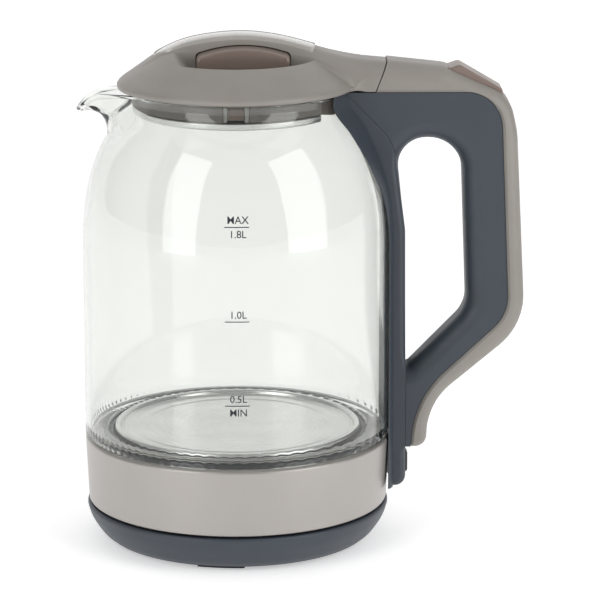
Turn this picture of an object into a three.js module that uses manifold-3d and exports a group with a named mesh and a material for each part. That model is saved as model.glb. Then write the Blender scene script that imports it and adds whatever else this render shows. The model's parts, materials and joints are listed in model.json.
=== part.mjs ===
// Electric glass jug kettle on a turn-anywhere power base.
// Millimetres, +Z up. The jug's axis is the design axis; the feet stand at Z = 0, the spout points to -X
// and the handle to +X. The whole kettle is shifted at the end so that its box is centred on the origin.
import * as THREE from "three";
import { mergeVertices } from "three/addons/utils/BufferGeometryUtils.js";
import Module from "manifold-3d";

const wasm = await Module();
wasm.setup();

// ---------------------------------------------------------------- driving dimensions
const ROUND_SIDES = 40;
const GLASS_SIDES = 48;
const SMALL_SIDES = 12;
const ARC_STEPS = 5;
const CLEARANCE = 0.3;
const RUNNING_CLEARANCE = 0.4;
const FAR = 400;

// overall
const GLASS_RADIUS = 72.8;
const GLASS_RIM = 215.2;

// Places that keep their distance from the glass's side, or from its rim, when either is changed.
const beside = (reach) => GLASS_RADIUS + reach;
const fromRim = (rise) => GLASS_RIM + rise;

// power base
const FOOT_HEIGHT = 2;
const FOOT_COUNT = 3;
const FOOT_ANGLE = -98;
const FOOT_WIDTH = 22;
const FOOT_DEPTH = 5;
const FOOT_RADIUS = beside(-14.3);
const BASE_RIM_RADIUS = beside(-1);
const BASE_RIM_TOP = 18;
const BASE_LOWER_RADIUS = beside(-10.3);
const BASE_WALL = 2.5;
const BASE_PLATE_THICKNESS = 2;
const BASE_DISH_RADIUS = beside(-6.8);
const BASE_DISH_DEPTH = 3.5;
const TOWER_RADIUS = 11.5;
const TOWER_HEIGHT = 13;
const TOWER_FLANGE = TOWER_RADIUS + 3.5;
const CONTACT_RADII = [6.4, 9.1];
const CONTACT_SLOT = 1.6;
const CONTACT_PIN_RADIUS = 1.8;
const SCREW_HEAD_RADIUS = 3.2;
const SCREW_SHANK_RADIUS = 1.5;
const SCREW_HEAD_HEIGHT = 1.8;
const GLAND_WIDTH = 11;
const GLAND_HEIGHT = 8;
const CORD_HOLE_RADIUS = 3.2;

// jug
const BAND_BOTTOM = 19;
const BAND_TOP = 50.5;
const BAND_TOP_RADIUS = beside(-0.4);
const BAND_BOTTOM_RADIUS = beside(-1.7);
const BAND_WALL = 1.5;
const GLASS_WALL = 2.5;
const NECK_RADIUS = beside(-23.6);
const SHOULDER_START = fromRim(-80.2);
const FLOOR_RING_INNER = beside(-11.3);
const FLOOR_RING_THICKNESS = 3.4;
const HEATING_PLATE_RADIUS = FLOOR_RING_INNER - 4.5;
const HEATING_PLATE_TOP = 53.6;
const HEATING_PLATE_THICKNESS = 1.2;
const ELEMENT_RADIUS = 38;
const ELEMENT_TUBE = 3.6;
const SOCKET_RADIUS = TOWER_RADIUS + 1.7;

// spout
const SPOUT_REACH = beside(2.5);
const SPOUT_TIP_DROP = 8.6;
const SPOUT_ROOT = fromRim(-20.2);
const SPOUT_HALF_ANGLE = 12.3;
const SPOUT_CROWDING = 0.45;

// lid
const LID_RADIUS = NECK_RADIUS + 6.3;
const LID_BOTTOM = fromRim(1.5);
const LID_BRIM_TOP = LID_BOTTOM + 4.3;
const LID_WALL = 2.2;
const RECESS_RADIUS = LID_RADIUS - 17.1;
const RECESS_FLOOR = LID_BOTTOM + 10.5;
const ARCH_TOP = LID_BOTTOM + 25.9;
const ARCH_HALF_WIDTH = 10;
const TRIM_HALF_WIDTH = 8.8;
const TRIM_THICKNESS = 1.4;
const TRIM_HALF_LENGTH = 38;
const PLUG_RADIUS = NECK_RADIUS - 3.2;
const PLUG_WALL = 1.8;
const PLUG_BOTTOM = LID_BOTTOM - 9.4;
const PLUG_DECK = 2;
const PAN_BOTTOM = PLUG_BOTTOM - 3.9;
const PAN_WALL = 0.8;
const REAR_CUT = PLUG_RADIUS - 7.6;
const BUTTON_CENTRE = 3.4;
const BUTTON_HALF_LENGTH = 21.6;
const BUTTON_OUTER = 22;
const BUTTON_TRAVEL = 3;
const BUTTON_TOP = RECESS_FLOOR + 10.1;
const BUTTON_TOP_RADIUS = 62;
const BOLT_WIDTH = 7;
const BOLT_HEIGHT = 4.6;
const BOLT_BOTTOM = PLUG_BOTTOM + 1.3;
const WINDOW_WIDTH = 12;
const SPRING_RADIUS = 2.6;
const SPRING_WIRE = 0.4;
const SPRING_TURNS = 2;
const SPRING_HEIGHT = RECESS_FLOOR + 3.8;
const SPRING_RIB = 1;
const BUTTON_INNER = 8;
const LEG_OUTER = 20.5;
const LEG_THICKNESS = 4;
const LID_SCREW_X = 30;

// handle
const HANDLE_HALF_WIDTH = 13.5;
const HANDLE_EDGE = 5;
const STRAP_HALF_WIDTH = 16;
const STRAP_EDGE = 2.5;
const FLANGE_EDGE = 1.6;
const STRAP_BOTTOM = 25.2;
const STRAP_BACK = beside(6.8);
const COVER_WALL = 2.4;
const HANDLE_REAR = beside(62.7);
const HANDLE_SPLIT_TOP = fromRim(0.4);
const COVER_BOTTOM = 44.8;
const SEAM_BOTTOM = LID_RADIUS + 7;
const SEAM_TOP = LID_RADIUS + 14.8;
const SEAM_GAP = 0.6;
const SEAM_FOOT = fromRim(-5.2);
const SWITCH_PIVOT = [beside(38.2), fromRim(-3.2)];
const SWITCH_PIN_RADIUS = 1.2;
const SWITCH_PIN_HALF_LENGTH = 10.2;
const SWITCH_HALF_WIDTH = 8;
const SWITCH_PRESS_DEGREES = 5;
const HOUSING_HALF_WIDTH = 8;
const STEAM_TUBE_RADIUS = 3;
const STEAM_AXIS = fromRim(4.6);
const LENS_WIDTH = 6;
const LENS_HEIGHT = 10.4;
const LENS_BOTTOM = 29.8;
const LENS_PROUD = 1.7;
const BOARD_X = beside(2.6);
const LOOM_RADIUS = 0.9;
const LOOM_SIDE = 9.6;

// ---------------------------------------------------------------- finishes
const finish = (color, roughness, metalness = 0) => ({ color, roughness, metalness });
const DARK_PLASTIC = finish(0x4d535b, 0.55);
const LIGHT_PLASTIC = finish(0x9b958f, 0.5);
const SATIN_BAND = finish(0xaea9a5, 0.35, 0.3);
const BRONZE_PLASTIC = finish(0x8b7d76, 0.4, 0.1);
const GLOSS_TRIM = finish(0xb5afa9, 0.15, 0.2);
const PALE_PLASTIC = finish(0xb9b7b3, 0.5);
const BLACK_PLASTIC = finish(0x1c1d20, 0.6);
const STEEL = finish(0xc4c6c8, 0.25, 1);
const BRASS = finish(0xb8924a, 0.3, 1);
const ALUMINIUM = finish(0xa8abae, 0.4, 1);
const SILICONE = finish(0xd8d8d4, 0.7);
const RUBBER = finish(0x202124, 0.9);
const GLASS = { color: 0xdfe6e2, roughness: 0.05, metalness: 0, transparent: true, opacity: 0.35 };

const kettle = new THREE.Group();
const designFrame = new THREE.Group();
kettle.add(designFrame);

// ---------------------------------------------------------------- solids from three.js geometry
function toSolid(geometry) {
  const bare = geometry.index ? geometry.toNonIndexed() : geometry.clone();
  bare.deleteAttribute("normal");
  bare.deleteAttribute("uv");
  const merged = mergeVertices(bare, 1e-3);
  const corners = merged.index.array;
  const kept = [];
  for (let i = 0; i < corners.length; i += 3) {
    const [a, b, c] = [corners[i], corners[i + 1], corners[i + 2]];
    if (a !== b && b !== c && c !== a) kept.push(a, b, c);
  }
  return new wasm.Manifold(
    new wasm.Mesh({
      numProp: 3,
      vertProperties: merged.attributes.position.array,
      triVerts: new Uint32Array(kept),
    }),
  );
}

function toGeometry(solid) {
  const mesh = solid.getMesh();
  const positions = [];
  for (let i = 0; i < mesh.vertProperties.length; i += mesh.numProp) {
    positions.push(...mesh.vertProperties.slice(i, i + 3));
  }
  const geometry = new THREE.BufferGeometry();
  geometry.setAttribute("position", new THREE.Float32BufferAttribute(positions, 3));
  geometry.setIndex([...mesh.triVerts]);
  geometry.computeVertexNormals();
  return geometry;
}

function piece(name, solid, look) {
  const mesh = new THREE.Mesh(toGeometry(solid), new THREE.MeshStandardMaterial(look));
  mesh.name = name;
  designFrame.add(mesh);
}

const radians = THREE.MathUtils.degToRad;

// A ring or disc turned about Z from [radius, height] points listed anticlockwise; it closes on itself.
function turned(points, sides = ROUND_SIDES) {
  const outline = points.map(([radius, height]) => new THREE.Vector2(radius, height));
  const onAxis = outline[0].x === 0 && outline.at(-1).x === 0;
  if (!onAxis) outline.push(outline[0].clone());
  const geometry = new THREE.LatheGeometry(outline, sides);
  geometry.rotateX(Math.PI / 2);
  return toSolid(geometry);
}

function ring(inner, outer, bottom, top, sides = ROUND_SIDES) {
  return turned([[inner, bottom], [outer, bottom], [outer, top], [inner, top]], sides);
}

function disc(radius, bottom, top, sides = ROUND_SIDES) {
  return turned([[0, bottom], [radius, bottom], [radius, top], [0, top]], sides);
}

function block(xs, ys, zs) {
  const geometry = new THREE.BoxGeometry(xs[1] - xs[0], ys[1] - ys[0], zs[1] - zs[0]);
  geometry.translate((xs[0] + xs[1]) / 2, (ys[0] + ys[1]) / 2, (zs[0] + zs[1]) / 2);
  return toSolid(geometry);
}

// Points of a circular arc, for outlines given as [x, y] lists.
function arc(centreX, centreY, radius, from, to, steps = ARC_STEPS) {
  return Array.from({ length: steps + 1 }, (_, i) => {
    const angle = radians(from + ((to - from) * i) / steps);
    return [centreX + radius * Math.cos(angle), centreY + radius * Math.sin(angle)];
  });
}

// An outline from [x, z, cornerRadius] corners, each corner rounded by an arc.
function roundedOutline(corners) {
  const points = [];
  corners.forEach(([x, z, radius = 0], i) => {
    const here = new THREE.Vector2(x, z);
    if (radius === 0) {
      points.push(here);
      return;
    }
    const before = new THREE.Vector2(...corners.at(i - 1).slice(0, 2)).sub(here).normalize();
    const after = new THREE.Vector2(...corners[(i + 1) % corners.length].slice(0, 2)).sub(here).normalize();
    const half = Math.acos(THREE.MathUtils.clamp(before.dot(after), -1, 1)) / 2;
    const centre = before.clone().add(after).normalize().multiplyScalar(radius / Math.sin(half)).add(here);
    const start = here.clone().addScaledVector(before, radius / Math.tan(half)).sub(centre);
    const end = here.clone().addScaledVector(after, radius / Math.tan(half)).sub(centre);
    const turn = Math.atan2(start.cross(end), start.dot(end));
    for (let step = 0; step <= ARC_STEPS; step += 1) {
      const spoke = start.clone().rotateAround(new THREE.Vector2(), (turn * step) / ARC_STEPS);
      points.push(spoke.add(centre));
    }
  });
  return points;
}

// An XZ outline made solid across Y, from -halfWidth to +halfWidth, with its side edges rounded by edge.
function acrossY(points, halfWidth, edge = 0, edgeSteps = 2) {
  const shape = new THREE.Shape(points.map((p) => (Array.isArray(p) ? new THREE.Vector2(...p) : p)));
  const geometry = new THREE.ExtrudeGeometry(shape, {
    depth: 2 * (halfWidth - edge),
    bevelEnabled: edge > 0,
    bevelSize: edge,
    bevelThickness: edge,
    bevelOffset: -edge,
    bevelSegments: edgeSteps,
  });
  geometry.rotateX(Math.PI / 2);
  geometry.translate(0, halfWidth - edge, 0);
  return toSolid(geometry);
}

// A bar of round section along a smooth path through [x, y, z] points.
function bar(points, radius, steps, sides = 8) {
  const path = new THREE.CatmullRomCurve3(points.map((p) => new THREE.Vector3(...p)));
  const round = arc(0, 0, radius, 0, 360, sides).slice(0, -1);
  const section = new THREE.Shape(round.map((p) => new THREE.Vector2(...p)));
  return toSolid(new THREE.ExtrudeGeometry(section, { steps, extrudePath: path, bevelEnabled: false }));
}

function rodAlongY(x, z, radius, y0, y1, sides = SMALL_SIDES) {
  const geometry = new THREE.CylinderGeometry(radius, radius, y1 - y0, sides);
  geometry.translate(0, (y0 + y1) / 2, 0);
  return toSolid(geometry).translate([x, 0, z]);
}

function rodAlongX(y, z, radius, x0, x1, sides = SMALL_SIDES) {
  const geometry = new THREE.CylinderGeometry(radius, radius, x1 - x0, sides);
  geometry.rotateZ(Math.PI / 2);
  geometry.translate((x0 + x1) / 2, y, z);
  return toSolid(geometry);
}

function screw(x, y, headBottom, length) {
  const headTop = headBottom + SCREW_HEAD_HEIGHT;
  return turned(
    [
      [0, headBottom],
      [SCREW_HEAD_RADIUS, headBottom],
      [SCREW_HEAD_RADIUS, headTop],
      [SCREW_SHANK_RADIUS, headTop],
      [SCREW_SHANK_RADIUS, headBottom + length],
      [0, headBottom + length],
    ],
    SMALL_SIDES,
  ).translate([x, y, 0]);
}

function screwHole(x, y, bottom, headTop, top) {
  const head = disc(SCREW_HEAD_RADIUS + CLEARANCE, bottom, headTop, SMALL_SIDES);
  const shank = disc(SCREW_SHANK_RADIUS + CLEARANCE, bottom, top, SMALL_SIDES);
  return head.add(shank).translate([x, y, 0]);
}

const around = (count, start, radius) =>
  Array.from({ length: count }, (_, i) => {
    const angle = radians(start + (360 * i) / count);
    return [radius * Math.cos(angle), radius * Math.sin(angle)];
  });

// ---------------------------------------------------------------- power base
const dishFloor = BASE_RIM_TOP - BASE_DISH_DEPTH;
const towerBottom = dishFloor - BASE_WALL;
const towerTop = dishFloor + TOWER_HEIGHT;
const plateTop = FOOT_HEIGHT + BASE_PLATE_THICKNESS;
const plateRadius = BASE_LOWER_RADIUS - BASE_WALL - CLEARANCE;
const baseScrewRadius = 40;
const baseScrewPlaces = around(FOOT_COUNT, FOOT_ANGLE + 60, baseScrewRadius);
const bossRadius = SCREW_HEAD_RADIUS + 1;
const glandAngle = FOOT_ANGLE + 180;
const glandBottom = plateTop + CLEARANCE;

function glandBlock(clearance) {
  const halfWidth = GLAND_WIDTH / 2 + clearance;
  const bottom = glandBottom - clearance;
  const top = glandBottom + GLAND_HEIGHT + clearance;
  const outer = BASE_LOWER_RADIUS + 4;
  const hole = block([BASE_LOWER_RADIUS - 6, outer], [-halfWidth, halfWidth], [bottom, top]);
  return hole.rotate([0, 0, glandAngle]);
}

function makeBaseCover() {
  const outside = [
    [BASE_LOWER_RADIUS, FOOT_HEIGHT],
    [BASE_LOWER_RADIUS + 2.5, FOOT_HEIGHT + 2],
    [BASE_LOWER_RADIUS + 6, FOOT_HEIGHT + 6],
    [BASE_RIM_RADIUS - 1, FOOT_HEIGHT + 9.5],
    [BASE_RIM_RADIUS, BASE_RIM_TOP - 2.5],
    [BASE_RIM_RADIUS - 0.6, BASE_RIM_TOP - 0.6],
    [BASE_RIM_RADIUS - 2, BASE_RIM_TOP],
  ];
  const top = [
    [BASE_DISH_RADIUS + BASE_DISH_DEPTH, BASE_RIM_TOP],
    [BASE_DISH_RADIUS, dishFloor],
    [TOWER_RADIUS + CLEARANCE, dishFloor],
    [TOWER_RADIUS + CLEARANCE, towerBottom],
  ];
  const inside = [
    [BASE_DISH_RADIUS - 1, towerBottom],
    [BASE_LOWER_RADIUS + 3.5, FOOT_HEIGHT + 7],
    [BASE_LOWER_RADIUS - BASE_WALL, plateTop],
    [BASE_LOWER_RADIUS - BASE_WALL, FOOT_HEIGHT],
  ];
  let shell = turned([...outside, ...top, ...inside]);
  for (const [x, y] of baseScrewPlaces) {
    const boss = disc(bossRadius, plateTop + CLEARANCE, towerBottom + 1, SMALL_SIDES);
    shell = shell.add(boss.translate([x, y, 0]));
    shell = shell.subtract(
      disc(SCREW_SHANK_RADIUS + CLEARANCE, FOOT_HEIGHT, towerBottom, SMALL_SIDES).translate([x, y, 0]),
    );
  }
  return shell.subtract(glandBlock(CLEARANCE));
}

function makeBasePlate() {
  const thickenedTop = plateTop;
  let plate = disc(plateRadius, FOOT_HEIGHT + CLEARANCE, thickenedTop);
  for (const [x, y] of baseScrewPlaces) {
    plate = plate.subtract(screwHole(x, y, 0, FOOT_HEIGHT + CLEARANCE + 1, FAR));
  }
  return plate;
}

function makeFoot(index) {
  const angle = FOOT_ANGLE + (360 * index) / FOOT_COUNT;
  const halfWidth = FOOT_WIDTH / 2;
  const pad = block(
    [FOOT_RADIUS - FOOT_DEPTH, FOOT_RADIUS],
    [-halfWidth, halfWidth],
    [0, FOOT_HEIGHT],
  );
  const reach = ring(FOOT_RADIUS - FOOT_DEPTH, FOOT_RADIUS + 0.2, -1, FOOT_HEIGHT + 1);
  return pad.intersect(reach).rotate([0, 0, angle]);
}

function makeTower() {
  const points = [
    [CONTACT_PIN_RADIUS + CLEARANCE, towerBottom - 3],
    [TOWER_FLANGE, towerBottom - 3],
    [TOWER_FLANGE, towerBottom - CLEARANCE],
    [TOWER_RADIUS, towerBottom - CLEARANCE],
    [TOWER_RADIUS, towerTop - 1],
    [TOWER_RADIUS - 1, towerTop],
  ];
  for (const radius of [...CONTACT_RADII].reverse()) {
    points.push(
      [radius + CONTACT_SLOT / 2, towerTop],
      [radius + CONTACT_SLOT / 2, dishFloor - 1],
      [radius - CONTACT_SLOT / 2, dishFloor - 1],
      [radius - CONTACT_SLOT / 2, towerTop],
    );
  }
  points.push([CONTACT_PIN_RADIUS + CLEARANCE, towerTop]);
  return turned(points, 16);
}

function makeContactRing(radius) {
  const half = (CONTACT_SLOT - 2 * CLEARANCE) / 2;
  return ring(radius - half, radius + half, dishFloor - 1 + CLEARANCE, towerTop - 4, 16);
}

function makeCordGland() {
  const hole = rodAlongX(0, glandBottom + GLAND_HEIGHT / 2, CORD_HOLE_RADIUS, 0, FAR);
  return glandBlock(0).subtract(hole.rotate([0, 0, glandAngle]));
}

function addPowerBase() {
  piece("base_cover", makeBaseCover(), DARK_PLASTIC);
  piece("base_plate", makeBasePlate(), DARK_PLASTIC);
  for (let i = 0; i < FOOT_COUNT; i += 1) {
    piece(`base_foot_${i + 1}`, makeFoot(i), RUBBER);
    const [x, y] = baseScrewPlaces[i];
    piece(`base_screw_${i + 1}`, screw(x, y, FOOT_HEIGHT - SCREW_HEAD_HEIGHT + 1, 9), STEEL);
  }
  piece("connector_tower", makeTower(), BLACK_PLASTIC);
  piece("centre_pin", disc(CONTACT_PIN_RADIUS, towerBottom - 3, towerTop - 2, SMALL_SIDES), BRASS);
  piece("inner_contact_ring", makeContactRing(CONTACT_RADII[0]), BRASS);
  piece("outer_contact_ring", makeContactRing(CONTACT_RADII[1]), BRASS);
  piece("cord_gland", makeCordGland(), RUBBER);
}

// ---------------------------------------------------------------- glass jug
const glassBottom = BAND_TOP + CLEARANCE;
const floorTop = glassBottom + FLOOR_RING_THICKNESS;

// The outside of the glass from [radius, height] at the start of the shoulder to the rim.
const shoulderCurve = new THREE.SplineCurve(
  [
    [GLASS_RADIUS, SHOULDER_START],
    [beside(-0.4), fromRim(-62.2)],
    [beside(-2.6), fromRim(-45.2)],
    [beside(-8), fromRim(-28.2)],
    [beside(-14.3), fromRim(-17.2)],
    [NECK_RADIUS + 1.8, fromRim(-8.2)],
    [NECK_RADIUS + 0.1, fromRim(-4.7)],
    [NECK_RADIUS, GLASS_RIM],
  ].map((p) => new THREE.Vector2(...p)),
);
const SHOULDER_STEPS = 10;
const shoulder = (offset) => {
  const points = [];
  for (let i = 0; i <= SHOULDER_STEPS; i += 1) {
    const at = shoulderCurve.getPointAt(i / SHOULDER_STEPS);
    const along = shoulderCurve.getTangentAt(i / SHOULDER_STEPS);
    points.push([at.x + offset * along.y, at.y - offset * along.x]);
  }
  points[0] = [GLASS_RADIUS + offset, SHOULDER_START];
  points[SHOULDER_STEPS] = [NECK_RADIUS + offset, GLASS_RIM];
  return points;
};

const spoutUnderside = new THREE.CubicBezierCurve(
  new THREE.Vector2(beside(-12.4), SPOUT_ROOT),
  new THREE.Vector2(beside(-12.6), fromRim(-9.7)),
  new THREE.Vector2(beside(-8.3), fromRim(-12.6)),
  new THREE.Vector2(SPOUT_REACH, GLASS_RIM - SPOUT_TIP_DROP - 0.8),
);

// Draws the neck out into a pouring lip around the -X direction.
function pullSpout(geometry) {
  const position = geometry.attributes.position;
  for (let i = 0; i < position.count; i += 1) {
    const [x, y, z] = [position.getX(i), position.getY(i), position.getZ(i)];
    const radius = Math.hypot(x, y);
    const even = Math.atan2(-y, -x);
    const angle = even - SPOUT_CROWDING * Math.sin(even);
    const share = THREE.MathUtils.clamp((z - SPOUT_ROOT) / (GLASS_RIM - SPOUT_ROOT), 0, 1);
    const inward = wallDepth(radius, z);
    const under = spoutUnderside.getPoint(share);
    const slope = spoutUnderside.getTangent(share);
    const reach = Math.exp(-((THREE.MathUtils.radToDeg(angle) / SPOUT_HALF_ANGLE) ** 2));
    const dip = Math.max(0, (reach - 0.6) / 0.4) ** 1.7;
    const target = under.x - inward * slope.y;
    const targetHeight = under.y + inward * slope.x;
    const pulled = share > 0 ? THREE.MathUtils.lerp(radius, target, reach) : radius;
    const sink = THREE.MathUtils.lerp(reach * share, dip, share ** 6);
    const height = share > 0 ? THREE.MathUtils.lerp(z, targetHeight, sink) : z;
    position.setXYZ(i, -pulled * Math.cos(angle), -pulled * Math.sin(angle), height);
  }
}

// How deep a point of the glass lies under its outside, measured at its own height.
function wallDepth(radius, height) {
  const outside = outsideRadius(height);
  return THREE.MathUtils.clamp(outside - radius, 0, GLASS_WALL);
}

function outsideRadius(height) {
  const points = shoulder(0);
  if (height <= points[0][1]) return GLASS_RADIUS;
  for (let i = 1; i < points.length; i += 1) {
    if (height <= points[i][1] + 1e-6) {
      const share = (height - points[i - 1][1]) / (points[i][1] - points[i - 1][1]);
      return THREE.MathUtils.lerp(points[i - 1][0], points[i][0], share);
    }
  }
  return NECK_RADIUS;
}

function makeGlass() {
  const heelRadius = 2;
  const heel = arc(GLASS_RADIUS - heelRadius, glassBottom + heelRadius, heelRadius, -90, 0, 3);
  const inner = GLASS_RADIUS - GLASS_WALL;
  const cove = arc(inner - heelRadius, floorTop + heelRadius, heelRadius, 0, -90, 3);
  const outline = [
    [FLOOR_RING_INNER, glassBottom],
    ...heel,
    ...shoulder(0),
    ...shoulder(-GLASS_WALL).reverse(),
    ...cove,
    [FLOOR_RING_INNER, floorTop],
  ].map(([radius, height]) => new THREE.Vector2(radius, height));
  outline.push(outline[0].clone());
  const geometry = new THREE.LatheGeometry(outline, GLASS_SIDES);
  geometry.rotateX(Math.PI / 2);
  pullSpout(geometry);
  return toSolid(geometry);
}

// Everything that the outside of the glass takes up, with a clearance; the handle is cut by it.
function glassEnvelope(clearance) {
  const sides = shoulder(clearance);
  const foot = [GLASS_RADIUS + clearance, 0];
  return turned([[0, 0], foot, ...sides, [NECK_RADIUS + clearance, FAR], [0, FAR]], 96);
}

// ---------------------------------------------------------------- jug foot: plate, element, connector, band
const plateUnderside = HEATING_PLATE_TOP - HEATING_PLATE_THICKNESS;
const diffuserTop = plateUnderside - CLEARANCE;
const diffuserBottom = diffuserTop - 3;
const elementCentre = diffuserBottom - CLEARANCE - ELEMENT_TUBE;
const bottomCoverTop = BAND_BOTTOM + 3.2;
const bottomCoverBottom = BAND_BOTTOM + 0.8;
const connectorTop = elementCentre - ELEMENT_TUBE;
const jugScrewPlaces = around(3, FOOT_ANGLE, 50);

function makeHeatingPlate() {
  const lip = 1.5;
  return turned([
    [0, plateUnderside],
    [HEATING_PLATE_RADIUS, plateUnderside],
    ...arc(HEATING_PLATE_RADIUS, plateUnderside + lip, lip, -90, 180, 4),
    [HEATING_PLATE_RADIUS - lip - 1, HEATING_PLATE_TOP],
    [0, HEATING_PLATE_TOP],
  ]);
}

function makePlateSeal() {
  const inner = HEATING_PLATE_RADIUS + 1.5 + CLEARANCE;
  const outer = FLOOR_RING_INNER - CLEARANCE;
  return ring(inner, outer, glassBottom - 1, glassBottom + 2.2);
}

function makeElement() {
  const gap = 24;
  const path = arc(0, 0, ELEMENT_RADIUS, 180 + gap, 540 - gap, 16).map(([x, y]) => [x, y, elementCentre]);
  return bar(path, ELEMENT_TUBE, 24);
}

function makeJugConnector() {
  const wall = 3;
  const outer = SOCKET_RADIUS + wall;
  const roof = towerTop + 3;
  const socket = turned([
    [SOCKET_RADIUS, bottomCoverTop + CLEARANCE],
    [outer, bottomCoverTop + CLEARANCE],
    [outer, roof + wall],
    [0, roof + wall],
    [0, roof],
    [SOCKET_RADIUS, roof],
  ], 24);
  return socket;
}

function makeBand() {
  const crease = 0.8;
  return turned([
    [BAND_BOTTOM_RADIUS - BAND_WALL, BAND_BOTTOM],
    [BAND_BOTTOM_RADIUS - crease, BAND_BOTTOM],
    [BAND_BOTTOM_RADIUS, BAND_BOTTOM + crease],
    [BAND_TOP_RADIUS, BAND_TOP - crease],
    [BAND_TOP_RADIUS - crease, BAND_TOP],
    [BAND_TOP_RADIUS - 8, BAND_TOP],
    [BAND_TOP_RADIUS - 8, BAND_TOP - BAND_WALL],
    [BAND_TOP_RADIUS - BAND_WALL, BAND_TOP - BAND_WALL],
  ]);
}

function makeBottomCover() {
  const outer = BAND_BOTTOM_RADIUS - BAND_WALL - CLEARANCE;
  const hole = SOCKET_RADIUS;
  let cover = ring(hole, outer, bottomCoverBottom, bottomCoverTop);
  for (const [x, y] of jugScrewPlaces) {
    const boss = disc(bossRadius, bottomCoverTop - 1, bottomCoverTop + 6, SMALL_SIDES);
    cover = cover.add(boss.translate([x, y, 0]));
    cover = cover.subtract(
      screwHole(x, y, bottomCoverBottom - 1, bottomCoverBottom + SCREW_HEAD_HEIGHT, bottomCoverTop + 5),
    );
  }
  return cover;
}

function addJugFoot() {
  piece("heating_plate", makeHeatingPlate(), STEEL);
  piece("plate_seal", makePlateSeal(), SILICONE);
  piece("diffuser_plate", disc(ELEMENT_RADIUS + 9, diffuserBottom, diffuserTop), ALUMINIUM);
  piece("heating_element", makeElement(), STEEL);
  piece("jug_connector", makeJugConnector(), BLACK_PLASTIC);
  for (const side of [-1, 1]) {
    const bimetal = disc(6, towerTop + 6 + CLEARANCE, towerTop + 7.2, SMALL_SIDES).translate([0, side * 8, 0]);
    piece(`bimetal_disc_${side < 0 ? 1 : 2}`, bimetal, BRASS);
  }
  piece("lower_band", makeBand(), SATIN_BAND);
  piece("bottom_cover", makeBottomCover(), DARK_PLASTIC);
  jugScrewPlaces.forEach(([x, y], i) => {
    piece(`bottom_screw_${i + 1}`, screw(x, y, bottomCoverBottom - CLEARANCE, 6), STEEL);
  });
}

// ---------------------------------------------------------------- handle outlines, in X and Z
const outerOutline = [
  [30, fromRim(24.8)],
  [SEAM_TOP, fromRim(14.9)],
  [beside(24.7), fromRim(11.9), 18],
  [beside(54.6), fromRim(-1.8), 18],
  [beside(58.4), fromRim(-19.2), 40],
  [HANDLE_REAR + 0.5, 103.8, 31],
  [beside(17.5), 65.5, 32],
  [beside(16.9), COVER_BOTTOM, HANDLE_EDGE + 0.6],
  [40, COVER_BOTTOM],
];

const splitOutline = [
  [-40, HANDLE_SPLIT_TOP],
  [beside(50.4), HANDLE_SPLIT_TOP, 17],
  [beside(55.1), 109.5, 20],
  [beside(9.8), 67.4, 48],
  [beside(9.6), COVER_BOTTOM + 1],
  [beside(9.6), -20],
  [-40, -20],
];

const fingerLoop = [
  [beside(1.5), fromRim(-22), 13],
  [beside(32.4), fromRim(-22), 16],
  [beside(35.6), 111.5, 16],
  [beside(4.4), 79.5, 2.5],
  [beside(6.3), fromRim(-67.2), 40],
];

const strapOutline = [
  [20, STRAP_BOTTOM],
  [STRAP_BACK + 0.4, STRAP_BOTTOM, 5],
  [STRAP_BACK, 88],
  [beside(6.3), fromRim(-65.2), 30],
  [beside(0.8), fromRim(-23.2), 25],
  [NECK_RADIUS + 1.8, HANDLE_SPLIT_TOP - CLEARANCE],
  [20, HANDLE_SPLIT_TOP - CLEARANCE],
];

const outline = {
  outer: roundedOutline(outerOutline),
  split: roundedOutline(splitOutline),
  loop: roundedOutline(fingerLoop),
  strap: roundedOutline(strapOutline),
};

// The outline grown outwards by an offset, by moving each point along its normal.
function grown(points, offset) {
  return points.map((point, i) => {
    const before = points.at(i - 1);
    const after = points[(i + 1) % points.length];
    const along = after.clone().sub(before).normalize();
    const side = THREE.ShapeUtils.isClockWise(points) ? -1 : 1;
    return new THREE.Vector2(point.x + side * along.y * offset, point.y - side * along.x * offset);
  });
}

const throughLoop = () => acrossY(outline.loop, FAR / 2);

// The flange on the glass from the strap's foot to the neck: [height, half width, step at the handle's side].
const flangeStations = [
  [STRAP_BOTTOM, STRAP_HALF_WIDTH, 2.2],
  [fromRim(-65.2), STRAP_HALF_WIDTH, 2.2],
  [fromRim(-50.2), 19.5, 2.2],
  [fromRim(-37.2), 24.5, 2.2],
  [fromRim(-25.5), 27, 2.3],
  [fromRim(-19.2), 26.3, 3.2],
  [fromRim(-11.9), 24, 5.4],
  [fromRim(-3), 21.3, 5.3],
  [HANDLE_SPLIT_TOP - CLEARANCE, 21, 3.4],
];

// A body through rings of equal counts of points, closed by flat ends.
function lofted(rings) {
  const count = rings[0].length;
  const index = [];
  for (let row = 0; row < rings.length - 1; row += 1) {
    for (let i = 0; i < count; i += 1) {
      const next = (i + 1) % count;
      const [a, b] = [row * count + i, row * count + next];
      index.push(a, b, b + count, a, b + count, a + count);
    }
  }
  const last = (rings.length - 1) * count;
  for (let i = 1; i < count - 1; i += 1) {
    index.push(0, i + 1, i, last, last + i, last + i + 1);
  }
  const geometry = new THREE.BufferGeometry();
  geometry.setAttribute("position", new THREE.Float32BufferAttribute(rings.flat(2), 3));
  geometry.setIndex(index);
  return toSolid(geometry);
}

function makeFlange() {
  const deep = NECK_RADIUS / 2;
  return lofted(flangeStations.map(([height, halfWidth, step]) => {
    const side = outsideRadius(height);
    const edgeX = Math.sqrt((side + FLANGE_EDGE) ** 2 - halfWidth ** 2);
    const stepX = Math.sqrt(side ** 2 - HANDLE_HALF_WIDTH ** 2) + step;
    const near = [[deep, -halfWidth], [edgeX, -halfWidth], [stepX, -HANDLE_HALF_WIDTH]];
    const far = near.map(([x, y]) => [x, -y]).reverse();
    return [...near, ...far].map(([x, y]) => [x, y, height]);
  }));
}

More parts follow.
